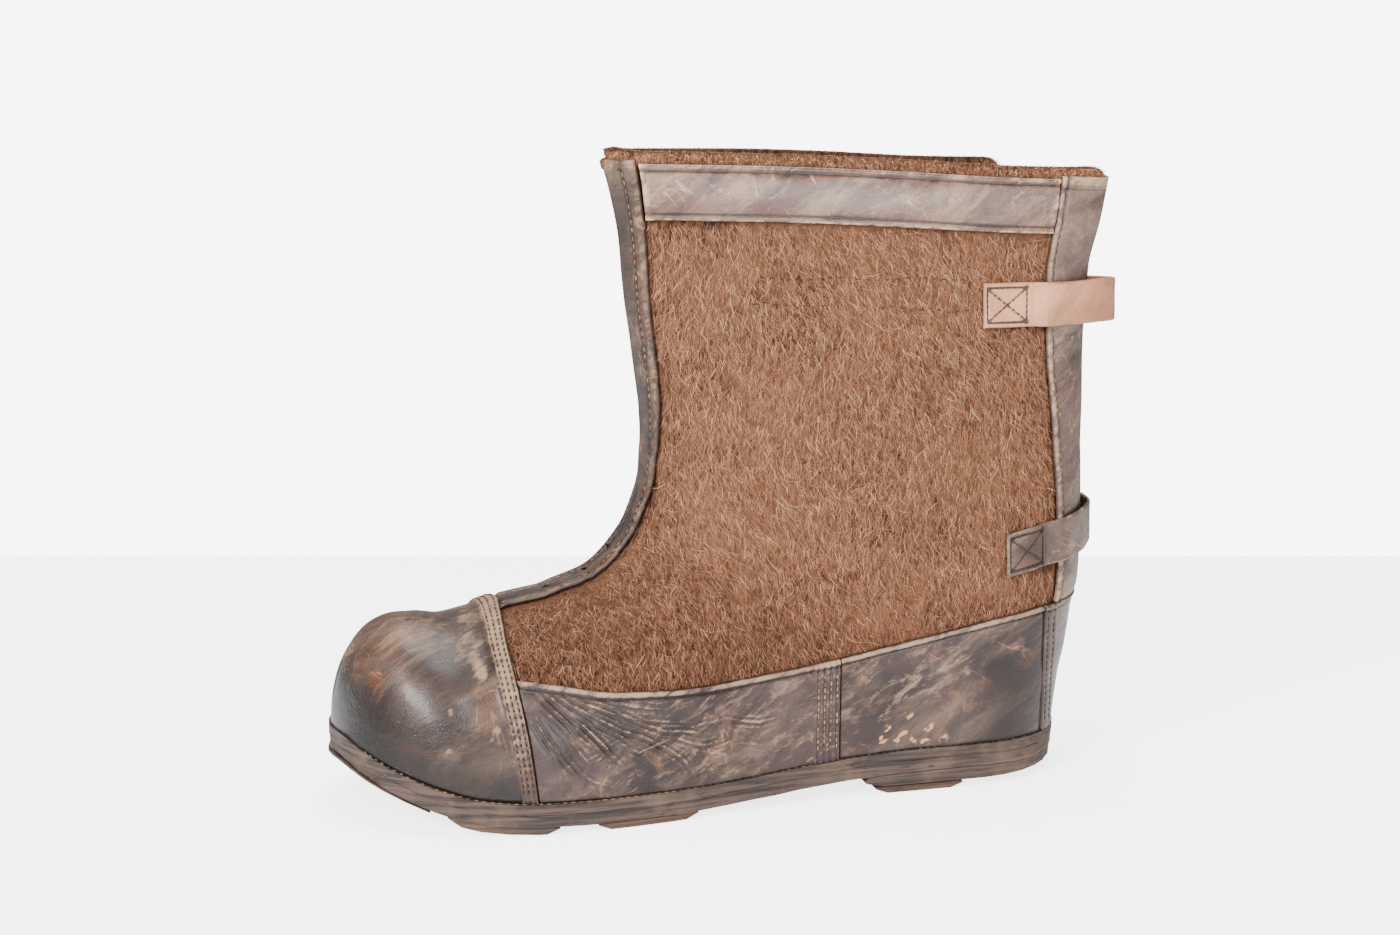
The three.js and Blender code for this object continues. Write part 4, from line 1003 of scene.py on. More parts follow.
def strip_stations():
    """Places on the front fold, the direction into the boot and the depth of the strip's edges."""
    start = float(cap_edge(vamp_z(along_foot(0.228)))) - 2.6
    stations = [(start, float(vamp_z(start)), 0.0, -1.0, 0.0045 * shaft_depth)]
    for row in sections:
        x0, z0, x1, z1 = row["ends"][-1]
        if x0 < start + 1.5 and row["back"] < 1.0:
            continue
        if "turn" in row and stations and math.hypot(x0 - stations[-1][0], z0 - stations[-1][1]) < 1.5:
            continue
        run = math.hypot(x1 - x0, z1 - z0)
        depth = 0.0045 * shaft_depth
        if "turn" in row:
            depth = float(strip_depth_instep(row["turn"])) * shaft_depth
        if "collar" in row:
            depth = float(strip_depth_shaft(row["collar"])) * shaft_depth
            if z0 > collar_height - 0.7 * rim_above_band:
                z0 = collar_height - 0.7 * rim_above_band
                x0 = float(front_x(z0))
        stations.append((x0, z0, (x1 - x0) / run, (z1 - z0) / run, depth))
    return stations


stations = np.array(strip_stations(), float)
station_run = np.concatenate([[0.0], np.cumsum(np.hypot(*np.diff(stations[:, :2], axis=0).T))])
strip_length = float(station_run[-1])


def strip_place(along, reach):
    """Place in the side view at a distance up the strip and a share of its half width."""
    table = [np.interp(along, station_run, stations[:, k]) for k in range(5)]
    deep = table[4] * reach ** 2
    return table[0] + table[2] * deep, table[1] + table[3] * deep


def strip_height(reach, along):
    edge = (1.0 - reach) * 9.0
    height = gap + leather + bead_step * np.clip(1.0 - ((edge - 1.3) / 1.6) ** 2, 0.0, 1.0)
    height = height - 1.2 * (1.0 - np.sqrt(1.0 - (1.0 - np.clip(edge / 1.0, 0, 1)) ** 2))
    height = height + groove(edge, 3.2, 0.5, 0.45) + 0.5 * np.exp(-((reach / 0.14) ** 2))
    folded = smoothstep(strip_length - 5.0, strip_length - 4.2, along)
    height = height - 0.9 * smoothstep(4.5, 2.2, along)
    return height + 0.7 * folded - 1.2 * smoothstep(strip_length - 0.8, strip_length, along)


def lay_strip(u, v):
    side = np.where(v < 0, -1.0, 1.0)
    x, z = strip_place(u, np.abs(v))
    height = strip_height(np.abs(v), u) + ripple(x, z, side, 0.15)
    point, outward = skin(x, z, side, height)
    middle = np.abs(v) < 1e-6
    point[middle, 1] = centre_y(point[middle, 0])
    edge = (1.0 - np.abs(v)) * 9.0
    # Pale on the rubbed edges and the middle; painted shade in the stitched groove and at the very edge.
    wear_and_shade = 0.4 * smoothstep(2.0, 1.2, edge) + 0.15 * np.exp(-((v / 0.12) ** 2))
    wear_and_shade = wear_and_shade - 0.85 * np.exp(-(((edge - 3.2) / 0.6) ** 2)) - 0.9 * smoothstep(0.5, 0.0, edge)
    wear_and_shade = wear_and_shade + 0.45 * smoothstep(strip_length - 4.0, strip_length - 3.0, u)
    return point, outward, np.clip(wear_and_shade, -1.0, 1.0)


strip_leather = leather_finish(
    "strip_leather", linear(26, 19, 17), linear(58, 43, 37), linear(78, 46, 33), linear(138, 112, 88),
    0.42, 0.5, 0.3, 0.15,
)
half = np.concatenate([np.linspace(0.0, 0.45, 8), np.linspace(0.5, 1.0, 16)])
strip = patch(
    "leather_front_strip",
    closing(strip_length, 1.8, 6.0, 6.0, 0.5) * strip_length,
    np.concatenate([-half[::-1], half[1:]]),
    lay_strip,
)
thicken(strip, 1.3)
fit(strip, strip_leather, "dark_leather", "front_strip")
strip_rows = []
for side in (-1.0, 1.0):
    run = np.linspace(2.0, strip_length - 4.0, 260)
    x, z = strip_place(run, np.full(260, 0.66))
    strip_rows.append(seam(x, z, side, np.full(260, gap + leather - 0.15)))
pack_threads("stitches_front_strip", strip_rows, thread_material, "tan_leather", 2.6, 0.75, 3.6)


# Collar bands
# Glossy leather bands below the rim, one on each panel, from the front strip to the binding of
# the back edge, with rolled and stitched edges at the top and the bottom.
collar_band_height = 25.5
binding_width = 22.0


def rim_over(x, side):
    front = front_x(rim_z(0.0))
    return rim_z(np.clip((x - front) / (back_x(rim_z(1.0), side) - front), 0.0, 1.0))


def strip_edge(z):
    return front_x(z) + strip_depth_shaft(up_shaft(z)) * shaft_depth


def binding_edge(z, side):
    return back_x(z, side) - binding_width


def lay_collar(side):
    def lay(u, v):
        x = np.full(len(u), 0.0)
        for _ in range(4):
            top = rim_over(x, side) - rim_above_band
            z = mix(top - collar_band_height, top, v)
            x = mix(strip_edge(z) + 2 * gap, binding_edge(z, side) - gap, u)
        under, over = top - z, z - (top - collar_band_height)
        from_front, from_back = x - strip_edge(z), binding_edge(z, side) - x
        height = gap + leather + roll_over(under) + roll_over(over)
        height = height + groove(over, 1.7, 0.35, 0.3)
        height = height + 1.3 * np.sin(np.clip(over / collar_band_height, 0, 1) * math.pi)
        height = height + ripple(x, z, side, 0.25) * smoothstep(3.0, 6.0, np.minimum(under, over))
        height = height + 0.5 * smoothstep(3.0, 1.0, from_front) - 0.5 * smoothstep(0.8, 0.0, from_front)
        point, outward = skin(x, z, side, height)
        # Painted shade in the stitched grooves and at the rolled edges; the ends are rubbed pale.
        wear_and_shade = rubbed_and_shaded_edge(under, 0.55) + rubbed_and_shaded_edge(over, 0.85)
        wear_and_shade = wear_and_shade - 0.7 * np.exp(-(((over - 1.7) / 0.4) ** 2))
        wear_and_shade = wear_and_shade + 0.5 * smoothstep(4.0, 1.0, from_front) + 0.3 * smoothstep(4.0, 1.0, from_back)
        # Painted highlight: a paler stripe along the raised middle of the band.
        wear_and_shade = wear_and_shade + 0.12 * smoothstep(3.0, 6.0, under) * smoothstep(3.0, 6.0, over)
        return point, outward, np.clip(wear_and_shade, -1.0, 1.0)

    return lay


collar_leather = leather_finish(
    "collar_leather", linear(44, 28, 23), linear(92, 63, 52), linear(100, 59, 43), linear(190, 156, 126),
    0.25, 0.65, 0.36, 0.38,
)
collar_rows = []
for side, name in ((-1.0, "lateral"), (1.0, "medial")):
    band = patch(
        f"leather_collar_band_{name}",
        closing(180.0, 1.8, 4.0, 2.0, 0.5),
        closing(collar_band_height, 1.0, 4.4, 4.4, 0.4),
        lay_collar(side),
    )
    thicken(band, 1.4)
    fit(band, collar_leather, "dark_leather", f"collar_band_{name}")
    for down in (bead_width + 0.7, collar_band_height - bead_width - 0.7):
        x = np.linspace(float(strip_edge(270.0)) + 3, float(binding_edge(270.0, side)) - 3, 120)
        z = rim_over(x, side) - rim_above_band - down
        collar_rows.append(seam(x, z, side, np.full(120, gap + leather - 0.1)))
    x = np.linspace(float(strip_edge(280.0)) + 3, float(binding_edge(280.0, side)) - 3, 120)
    z = rim_over(x, side) - 10.0
    points, outward = seam(x, z, side, np.full(120, -felt_wall - 0.5))
    collar_rows.append((points, -outward))
pack_threads("stitches_collar_bands", collar_rows, thread_material, "tan_leather", 2.6, 0.7, 3.6)


# Back bindings
# Leather folded round the two edges of the back slit, from the heel counter to the rim, stitched
# through near its front edge. The top end is folded down over itself.
def roll_edge(distance, radius=1.2, drop=1.5):
    return -drop * (1.0 - np.sqrt(1.0 - (1.0 - np.clip(distance / radius, 0, 1)) ** 2))


def lay_binding(side):
    """u climbs from the counter to the rim; v goes from the outer front edge round to the inside."""
    out = gap + leather

    def lay(u, v):
        reach = v
        outside = np.clip(-reach, 0.0, binding_width)
        turned = np.clip(reach, 0.0, felt_wall + 2 * out) / (felt_wall + 2 * out)
        inside = np.clip(reach - felt_wall - 2 * out, 0.0, binding_width)
        back_from = outside + inside
        x = np.full(len(u), 80.0)
        for _ in range(4):
            low = rand_top(x) + gap + 0.2
            top = rim_over(x, side) - 4.0
            z = mix(low, top, u)
            x = back_x(z, side) - back_from
        edge = np.minimum(binding_width - outside, binding_width - inside)
        plain = gap + leather + 0.5 * np.sin(np.clip(edge / binding_width, 0, 1) * math.pi)
        raised = roll_over(edge) + 0.55 * smoothstep(5.6, 4.8, top - z) + roll_edge(top - z)
        wrinkle = 0.35 * np.sin(z / 2.3 + 0.6 * np.sin(x / 3.0)) * spot(x, z, 14.0, 9.0, 78.0, 252.0)
        wrinkle = wrinkle + 0.3 * np.sin(z / 1.9) * spot(x, z, 14.0, 7.0, 80.0, 205.0)
        height = plain + raised + ripple(x, z, side, 0.3) + wrinkle
        point, outward = skin(x, z, side, np.where(reach <= 0, height, 0.0))
        inner_point, inner_way = skin(x, z, side, -felt_wall - (plain + raised))
        is_inside = reach >= felt_wall + 2 * out
        point = np.where(is_inside[:, None], inner_point, point)
        outward = np.where(is_inside[:, None], -inner_way, outward)
        rounding = (reach > 0) & ~is_inside
        edge_x = back_x(z, side)
        base, way = skin(edge_x, z, side, -felt_wall / 2)
        ahead, _ = skin(edge_x - 3.0, z, side, -felt_wall / 2)
        away = base - ahead
        away[:, 2] = 0.0
        away = away / np.linalg.norm(away, axis=1, keepdims=True)
        radius = felt_wall / 2 + plain
        angle = turned * math.pi
        bow = base + way * (np.cos(angle) * radius)[:, None] + away * (np.sin(angle) * 0.75 * radius)[:, None]
        point = np.where(rounding[:, None], bow, point)
        bow_way = way * np.cos(angle)[:, None] + away * np.sin(angle)[:, None]
        outward = np.where(rounding[:, None], bow_way, outward)
        shut = (z < slit_root + 7.0) & (side * point[:, 1] < 0.35)
        point[shut, 1] = side * 0.35
        # Pale round the rubbed fold and the top; painted shade in the stitched groove and in a line under the
        # folded top end.
        wear_and_shade = rubbed_and_shaded_edge(edge, 0.55) + 0.2 + 0.35 * np.sin(angle) * rounding
        wear_and_shade = wear_and_shade + 0.4 * smoothstep(4.4, 3.6, top - z) - 0.9 * np.exp(-(((top - z - 5.8) / 0.5) ** 2))
        return point, outward, np.clip(wear_and_shade, -1.0, 1.0)

    return lay


binding_leather = leather_finish(
    "binding_leather", linear(52, 39, 35), linear(98, 76, 67), linear(98, 65, 52), linear(164, 138, 114),
    0.42, 0.4, 0.36, 0.15,
)
folded = felt_wall + 2 * (gap + leather)
binding_rows = []
for side, name in ((-1.0, "lateral"), (1.0, "medial")):
    from_edge = closing(binding_width, 1.6, 4.2, 0.0, 0.45) * binding_width
    around_edge = np.linspace(0.0, folded, 12)[1:]
    inner_face = folded + (binding_width - from_edge[::-1])[1:]
    reaches = np.concatenate([from_edge - binding_width, around_edge, inner_face])
    binding = patch(
        f"leather_back_binding_{name}", closing(200.0, 1.5, 0.0, 6.5, 0.5), reaches, lay_binding(side)
    )
    thicken(binding, 1.2)
    fit(binding, binding_leather, "dark_leather", f"back_binding_{name}")
    for inner in (False, True):
        z = np.linspace(94.0, 280.0, 160)
        x = binding_edge(z, side) + bead_width + 0.7
        lift = -felt_wall - gap - leather + 0.1 if inner else gap + leather - 0.1
        points, outward = seam(x, z, side, np.full(160, lift))
        binding_rows.append((points, -outward if inner else outward))
pack_threads("stitches_bindings", binding_rows, thread_material, "tan_leather", 2.6, 0.75, 3.6)


# Straps
# Two flat leather loops across the back slit. Each end is a patch stitched round its border and
# crosswise to the felt; the upper strap is pale tan, the lower one brown.
def spline(points, count):
    """A smooth line through points, with evenly spread places along it."""
    points = np.asarray(points, float)
    run = np.concatenate([[0.0], np.cumsum(np.linalg.norm(np.diff(points, axis=0), axis=1) ** 0.5)])
    lines = [curve_through(list(zip(run, points[:, k]))) for k in range(points.shape[1])]
    dense = np.stack([line(np.linspace(0, run[-1], 600)) for line in lines], axis=1)
    length = np.concatenate([[0.0], np.cumsum(np.linalg.norm(np.diff(dense, axis=0), axis=1))])
    places = np.linspace(0, length[-1], count)
    even = [np.interp(places, length, dense[:, k]) for k in range(points.shape[1])]
    return np.stack(even, axis=1), length[-1]


over_felt = 3 * gap
over_binding = 4 * gap + leather + bead_step


def on_panel(side, behind_edge, height, width, lift):
    edge = float(back_x(height, side)) + behind_edge
    return [skin(edge, height + h * width, side, lift)[0] for h in (-0.5, 0.5)]


def free(x, y, z, width):
    return [np.array([x, y, z - 0.5 * width]), np.array([x, y, z + 0.5 * width])]


def strap(name, stops, width, material, slot, node, patch_length):
    """A strap through stops, each a pair of points on its lower and its upper edge."""
    flat = [np.concatenate([low, high]) for low, high in stops]
    line, length = spline(flat, 240)
    thick = 2.0
    bm = bmesh.new()
    bmesh.ops.create_grid(bm, x_segments=239, y_segments=26, size=0.5)
    place = np.array([v.co[:2] for v in bm.verts]) + 0.5
    i = np.rint(place[:, 0] * 239).astype(int)
    low, high = line[i, :3], line[i, 3:]
    ahead = line[np.minimum(i + 1, 239)] - line[np.maximum(i - 1, 0)]
    ahead = (ahead[:, :3] + ahead[:, 3:]) / 2
    outward = np.cross(ahead, high - low)
    outward = outward / np.linalg.norm(outward, axis=1, keepdims=True)
    across = closing(width, 1.3, 2.2, 2.2, 0.45)
    across = np.interp(place[:, 1], np.linspace(0, 1, len(across)), across)
    along = i / 239 * length
    from_end = np.minimum(along, length - along)
    edge = np.minimum(np.minimum(across, 1 - across) * width, from_end)
    height = thick + roll_edge(edge, 1.4, 1.1) + groove(edge, 2.4, 0.45, 0.35) * (from_end < patch_length + 2)
    height = height + groove(from_end, patch_length, 0.5, 0.35)
    height = height + 0.18 * np.sin(along / 5.0) * np.sin(across * 5.0 + 1.0)
    # Pale on the rubbed edges; painted shade along the stitched grooves.
    wear_and_shade = 0.4 * smoothstep(1.8, 0.6, edge)
    on_patch = smoothstep(patch_length + 1.0, patch_length, from_end)
    stitched = smoothstep(patch_length + 2.5, patch_length + 1.5, from_end)
    for line_at in (edge - 2.4, from_end - patch_length):
        wear_and_shade = wear_and_shade - np.exp(-((line_at / 0.7) ** 2)) * stitched
    cross = (from_end - 2.4) / (patch_length - 2.4) * (width - 4.8) + 2.4
    for line_at in (across * width - cross, across * width - (width - cross)):
        wear_and_shade = wear_and_shade - 0.9 * np.exp(-((line_at / 0.7) ** 2)) * on_patch * (edge > 2.4)
        height = height - 0.3 * np.exp(-((line_at / 0.5) ** 2)) * on_patch * (edge > 2.4)
    points = low + (high - low) * across[:, None] + outward * height[:, None]
    layer = bm.verts.layers.float.new("wear_and_shade")
    for vert, point, value in zip(bm.verts, points * MM, wear_and_shade):
        vert.co = point
        vert[layer] = value
    bm.normal_update()
    bm.verts.index_update()
    if sum(f.normal.dot(Vector(outward[f.verts[0].index])) for f in bm.faces) < 0:
        bmesh.ops.reverse_faces(bm, faces=bm.faces)
    mesh = bpy.data.meshes.new(name)
    bm.to_mesh(mesh)
    bm.free()
    mesh.polygons.foreach_set("use_smooth", [True] * len(mesh.polygons))
    piece = bpy.data.objects.new(name, mesh)
    bpy.context.scene.collection.objects.link(piece)
    wall = piece.modifiers.new("Wall", "SOLIDIFY")
    wall.thickness = (thick - 0.15) * MM
    wall.offset = -1.0
    fit(piece, material, slot, node)

    def path(stretch, height_share):
        """Points on the strap's face: distances from its start and shares of its width."""
        at = stretch / length * 239

        def along_line(place):
            return np.stack([np.interp(place, np.arange(240), line[:, k]) for k in range(6)], axis=1)

        rows = along_line(at)
        step = along_line(np.minimum(at + 1, 239))
        back = along_line(np.maximum(at - 1, 0))
        way = np.cross((step - back)[:, :3], rows[:, 3:] - rows[:, :3])
        way = way / np.linalg.norm(way, axis=1, keepdims=True)
        share = np.asarray(height_share, float)[:, None]
        return rows[:, :3] * (1 - share) + rows[:, 3:] * share + way * (thick - 0.1), way

    inset = 2.4
    low_share, high_share = inset / width, 1 - inset / width
    rows = []
    ones = np.ones(24)
    for first, last in ((inset, patch_length), (length - patch_length, length - inset)):
        run = np.linspace(first, last, 24)
        rows.append(path(run, low_share * ones))
        rows.append(path(run, high_share * ones))
        rows.append(path(first * ones, np.linspace(low_share, high_share, 24)))
        rows.append(path(last * ones, np.linspace(low_share, high_share, 24)))
        rows.append(path(run, np.linspace(low_share + 0.03, high_share - 0.03, 24)))
        rows.append(path(run, np.linspace(high_share - 0.03, low_share + 0.03, 24)))
    pack_threads(f"stitches_{node}", rows, dark_thread_material,
                 "tan_leather", 2.2, 0.7, 2.8)
    return piece


upper_width, upper_height = 20.5, 225.0
loop_half = float(slit_y(upper_height)) - 2
loop_back = float(back_x(upper_height, -1.0)) + 0.075 * shaft_depth
on_leg = (
    (-2.4, over_felt), (-1.8, over_felt), (-1.3, over_felt), (-1.07, over_binding), (-0.5, over_binding),
)
outer_half = [
    on_panel(-1.0, share * binding_width, upper_height, upper_width, lift) for share, lift in on_leg
]
inner_half = [
    on_panel(1.0, share * binding_width, upper_height - 6, upper_width, lift)
    for share, lift in ((-0.1, over_binding + 1), *reversed(on_leg))
]
tan_leather = leather_finish(
    "tan_leather", linear(150, 98, 72), linear(206, 146, 112), linear(180, 118, 86), linear(112, 88, 70),
    0.42, 0.5, 0.35, 0.2,
)
strap(
    "leather_upper_strap",
    [
        *outer_half,
        free(loop_back - 12, -loop_half - 8, upper_height, upper_width),
        free(loop_back, -loop_half + 3, upper_height - 1, upper_width),
        free(loop_back - 3, 0, upper_height - 3, upper_width),
        free(loop_back - 12, loop_half - 3, upper_height - 5, upper_width),
        *inner_half,
    ],
    upper_width, tan_leather, "tan_leather", "upper_strap", 29.0,
)
lower_width, lower_height = 20.0, 112.0
low_rise = lower_height + 0.25 * lower_width
low_back = float(back_x(lower_height, -1.0))
low_table = (
    (-2.25, -0.12, over_felt), (-1.7, 0.0, over_felt), (-1.3, 0.08, over_felt),
    (-1.07, 0.13, over_binding), (-0.6, 0.19, over_binding), (-0.25, 0.23, over_binding + 0.5),
)


def low_stop(side, at, rise, lift):
    height = lower_height + rise * lower_width
    edge = float(back_x(lower_height + rise * lower_width, side)) + at * binding_width
    return [skin(edge, height + h * lower_width, side, lift)[0] for h in (-0.5, 0.5)]


strap(
    "leather_lower_strap",
    [
        *[low_stop(-1.0, *row) for row in low_table],
        free(low_back + 6, -10, low_rise, lower_width),
        free(low_back + 7, 0, low_rise, lower_width),
        free(low_back + 6, 10, low_rise, lower_width),
        *[low_stop(1.0, *row) for row in reversed(low_table)],
    ],
    lower_width, binding_leather, "dark_leather", "lower_strap", 27.0,
)


# Bottom
# A leather midsole stitched to the rand, a leather outsole under it, a heel lift, and worn leather
# treads: a toe plate, two bars under the ball and one under the heel. An insole lies inside.
midsole_thickness, outsole_thickness, insole_thickness = 4.8, 5.6, 2.5
sole_reach = 4.2
reach_line = curve_through([(0.0, 0.8), (0.12, 1.0), (0.3, 1.0), (0.5, 0.8), (1.0, 0.65)])


def reach_at(share):
    return reach_line(share) * sole_reach


def plan_share(u):
    return (1.0 - np.cos(u * math.pi)) / 2


def outline_point(u, v, reach):
    """Plan of the bottom: u from the toe to the heel, v from the outer side (-1) to the inner (1)."""
    x = along_foot(plan_share(u))
    inside_x = np.clip(x, toe_x + 0.05, heel_back - 0.05)
    side = np.where(v < 0, -1.0, 1.0)
    low = feather_z(inside_x) + gap
    half_here = half_width(inside_x, low, side)
    slope = (half_width(inside_x + 0.02, low, side) - half_width(inside_x - 0.02, low, side)) / 0.04
    size = np.sqrt(1.0 + slope ** 2)
    out_x, out_y = inside_x - slope / size * reach, centre_y(inside_x) + side * (half_here + reach / size)
    ends = (u < 1e-6) | (u > 1 - 1e-6)
    out_x = np.where(u < 1e-6, toe_x - reach, np.where(u > 1 - 1e-6, heel_back + reach, out_x))
    out_y = np.where(ends, centre_y(x), out_y)
    return out_x, mix(centre_y(inside_x), out_y, np.abs(v))


def plate(name, reach_of, top_of, bottom_of, material, slot, node, chip=0.35, edge_round=0.9, seed=0.0):
    """A leather plate of the sole: a grid of its plan, extruded down, with a softened edge."""
    rungs, cross = 110, 12
    bm = bmesh.new()
    bmesh.ops.create_grid(bm, x_segments=rungs, y_segments=cross, size=0.5)
    place = np.array([v.co[:2] for v in bm.verts]) + 0.5
    u, v = place[:, 0], (place[:, 1] - 0.5) * 2
    wave = np.sin(u * 61.0 + 4.0 * v + seed) * np.sin(u * 23.0 + seed * 2)
    wave = wave + 0.6 * np.sin(u * 143.0 + v * 9 + seed)
    x, y = outline_point(u, v, reach_of(u) + chip * wave * np.abs(v) ** 6)
    for vert, px, py in zip(bm.verts, x, y):
        vert.co = (px * MM, py * MM, 0.0)
    bmesh.ops.remove_doubles(bm, verts=bm.verts, dist=2e-6)
    made = bmesh.ops.extrude_face_region(bm, geom=list(bm.faces))
    lower = {g for g in made["geom"] if isinstance(g, bmesh.types.BMVert)}
    for vert in bm.verts:
        at = vert.co.x / MM
        vert.co.z = float(bottom_of(at) if vert in lower else top_of(at)) * MM
    bmesh.ops.recalc_face_normals(bm, faces=bm.faces)
    sharp = [e for e in bm.edges if len(e.link_faces) == 2 and e.calc_face_angle(0.0) > math.radians(50)]
    bmesh.ops.bevel(
        bm, geom=sharp, offset=edge_round * MM, segments=3, profile=0.5, affect="EDGES", material=-1,
        clamp_overlap=True,
    )
    mesh = bpy.data.meshes.new(name)
    bm.to_mesh(mesh)
    bm.free()
    mesh.polygons.foreach_set("use_smooth", [True] * len(mesh.polygons))
    piece = bpy.data.objects.new(name, mesh)
    bpy.context.scene.collection.objects.link(piece)
    return fit(piece, material, slot, node)


def sole_finish(name, deep, middle, pale, dry=0.5):
    hide = Finish(name, {"Specular IOR Level": 0.35})
    layers = hide.noise(60.0, 5.0, 0.65, 0.2, hide.stretch((0.25, 0.25, 9.0)))
    cracks = hide.noise(75.0, 6.0, 0.7, 0.8, hide.stretch((0.4, 0.4, 3.0)))
    dirt_and_shade = hide.noise(32.0, 4.0, 0.6)
    colour = hide.blend(hide.between(layers, 0.38, 0.62), deep, middle)
    colour = hide.blend(hide.between(dirt_and_shade, 0.45, 0.68, 0.0, dry), colour, pale)
    colour = hide.blend(hide.between(cracks, 0.42, 0.34, 0.0, 0.8), colour, linear(14, 11, 10))
    normal = hide.bump(hide.maths("ADD", layers, cracks), 0.0012, 0.7)
    return hide.paint(colour, hide.between(dirt_and_shade, 0.3, 0.7, 0.55, 0.8), normal)


sole_leather = sole_finish("sole_leather", linear(34, 26, 23), linear(76, 59, 51), linear(112, 90, 74))
tread_leather = sole_finish("tread_leather", linear(52, 37, 29), linear(86, 62, 48), linear(106, 82, 66))


def feather_at(x):
    return feather_z(np.clip(x, toe_x, heel_back))


def midsole_bottom(x):
    return feather_at(x) - midsole_thickness


def outsole_bottom(x):
    return midsole_bottom(x) - gap - outsole_thickness


plate(
    "leather_midsole", lambda u: reach_at(plan_share(u)), lambda x: feather_at(x) - gap / 2,
    midsole_bottom, sole_leather, "sole_leather", "midsole", 0.25, 1.3, 0.4,
)
plate(
    "leather_outsole", lambda u: reach_at(plan_share(u)) - 0.5, lambda x: midsole_bottom(x) - gap,
    outsole_bottom, sole_leather, "sole_leather", "outsole", 0.35, 1.5, 2.1,
)
insole_leather = sole_finish(
    "insole_leather", linear(52, 37, 28), linear(80, 60, 45), linear(92, 72, 56), 0.3
)
plate(
    "leather_insole", lambda u: np.full(len(u), -felt_wall - 5 * gap),
    lambda x: feather_at(x) + gap + insole_thickness, lambda x: feather_at(x) + gap,
    insole_leather, "insole_leather", "insole", 0.0, 0.7,
)


def soften(node, material, slot, width=0.9, taper=0.0):
    """A solid that keeps its shape and gets a bevelled edge, a thinner rear end and its leather."""
    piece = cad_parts[node]
    mesh = piece.data.copy()
    bm = bmesh.new()
    bm.from_mesh(mesh)
    bmesh.ops.remove_doubles(bm, verts=bm.verts, dist=1e-5)
    bmesh.ops.dissolve_limit(bm, angle_limit=math.radians(1.0), verts=bm.verts, edges=bm.edges)
    sharp = [e for e in bm.edges if len(e.link_faces) == 2 and e.calc_face_angle(0.0) > math.radians(35)]
    bmesh.ops.bevel(
        bm, geom=sharp, offset=width * MM, segments=3, profile=0.5, affect="EDGES", material=-1,
        clamp_overlap=True,
    )
    if taper:
        rear = max(vert.co.x for vert in bm.verts) / MM
        for vert in bm.verts:
            x = vert.co.x / MM
            above = float(outsole_bottom(x)) - gap
            vert.co.z = mix(vert.co.z / MM, above, 0.8 * float(smoothstep(rear - taper, rear, x))) * MM
    new = bpy.data.meshes.new(f"leather_{node}")
    bm.to_mesh(new)
    bm.free()
    new.materials.clear()
    new.polygons.foreach_set("use_smooth", [True] * len(new.polygons))
    new.set_sharp_from_angle(angle=math.radians(40))
    made = bpy.data.objects.new(f"leather_{node}", new)
    bpy.context.scene.collection.objects.link(made)
    return fit(made, material, slot, node)


soften("heel_lift", sole_leather, "sole_leather", 0.8)
soften("toe_plate", sole_leather, "sole_leather", 0.8, taper=45.0)
for node in ("tread_bar_front", "tread_bar_rear", "heel_bar"):
    soften(node, tread_leather, "sole_leather", 0.7)

welt_rows = []
for side in (-1.0, 1.0):
    u = np.linspace(0.02, 0.98, 420)
    x, y = outline_point(u, np.full(420, side), reach_at(plan_share(u)) - 1.6)
    z = feather_z(np.clip(x, toe_x, heel_back)) - gap / 2
    welt_rows.append((np.stack([x, y, z], axis=1), np.tile([0.0, 0.0, 1.0], (420, 1))))
pack_threads("stitches_welt", welt_rows, thread_material, "tan_leather", 2.4, 0.7, 3.6)


# Old stitches in the felt
# Short dark threads left on the outer panel, where something was once sewn on below the band.
# They lie in broken rows, part sunk into the felt.
old_rows = []
for start_x, start_z, end_x, end_z in (
    (-74.0, 239.0, 22.0, 237.5), (-77.0, 228.0, -40.0, 226.0), (-20.0, 225.5, 27.0, 222.0),
    (-73.0, 240.0, -73.5, 229.0), (21.0, 238.0, 23.0, 223.0),
):
    run = np.linspace(0.0, 1.0, 40)
    wander = 0.6 * np.sin(run * 17.0 + start_x)
    old_rows.append(seam(mix(start_x, end_x, run), mix(start_z, end_z, run) + wander, -1.0, np.full(40, 0.7)))
pack_threads("stitches_old", old_rows, dark_thread_material, "dark_leather", 2.4, 0.6, 4.4)


# Hair of the felt
# Loose cattle hair that stands out of the felt, mostly lying down the boot, as fine flat strands
# that taper and bend. Pale, red-brown and dark hairs are mixed.
hair = Finish("cattle_hair", {"Specular IOR Level": 0.03})
hair_tone = hair.attribute("tone")
hair_colour = hair.blend(hair.between(hair_tone, 0.0, 0.45), linear(23, 15, 12), linear(129, 86, 64))
hair_colour = hair.blend(hair.between(hair_tone, 0.45, 0.8), hair_colour, linear(174, 123, 92))
hair_colour = hair.blend(hair.between(hair_tone, 0.86, 1.0), hair_colour, linear(208, 170, 136))
hair_material = hair.paint(hair_colour, 0.55)


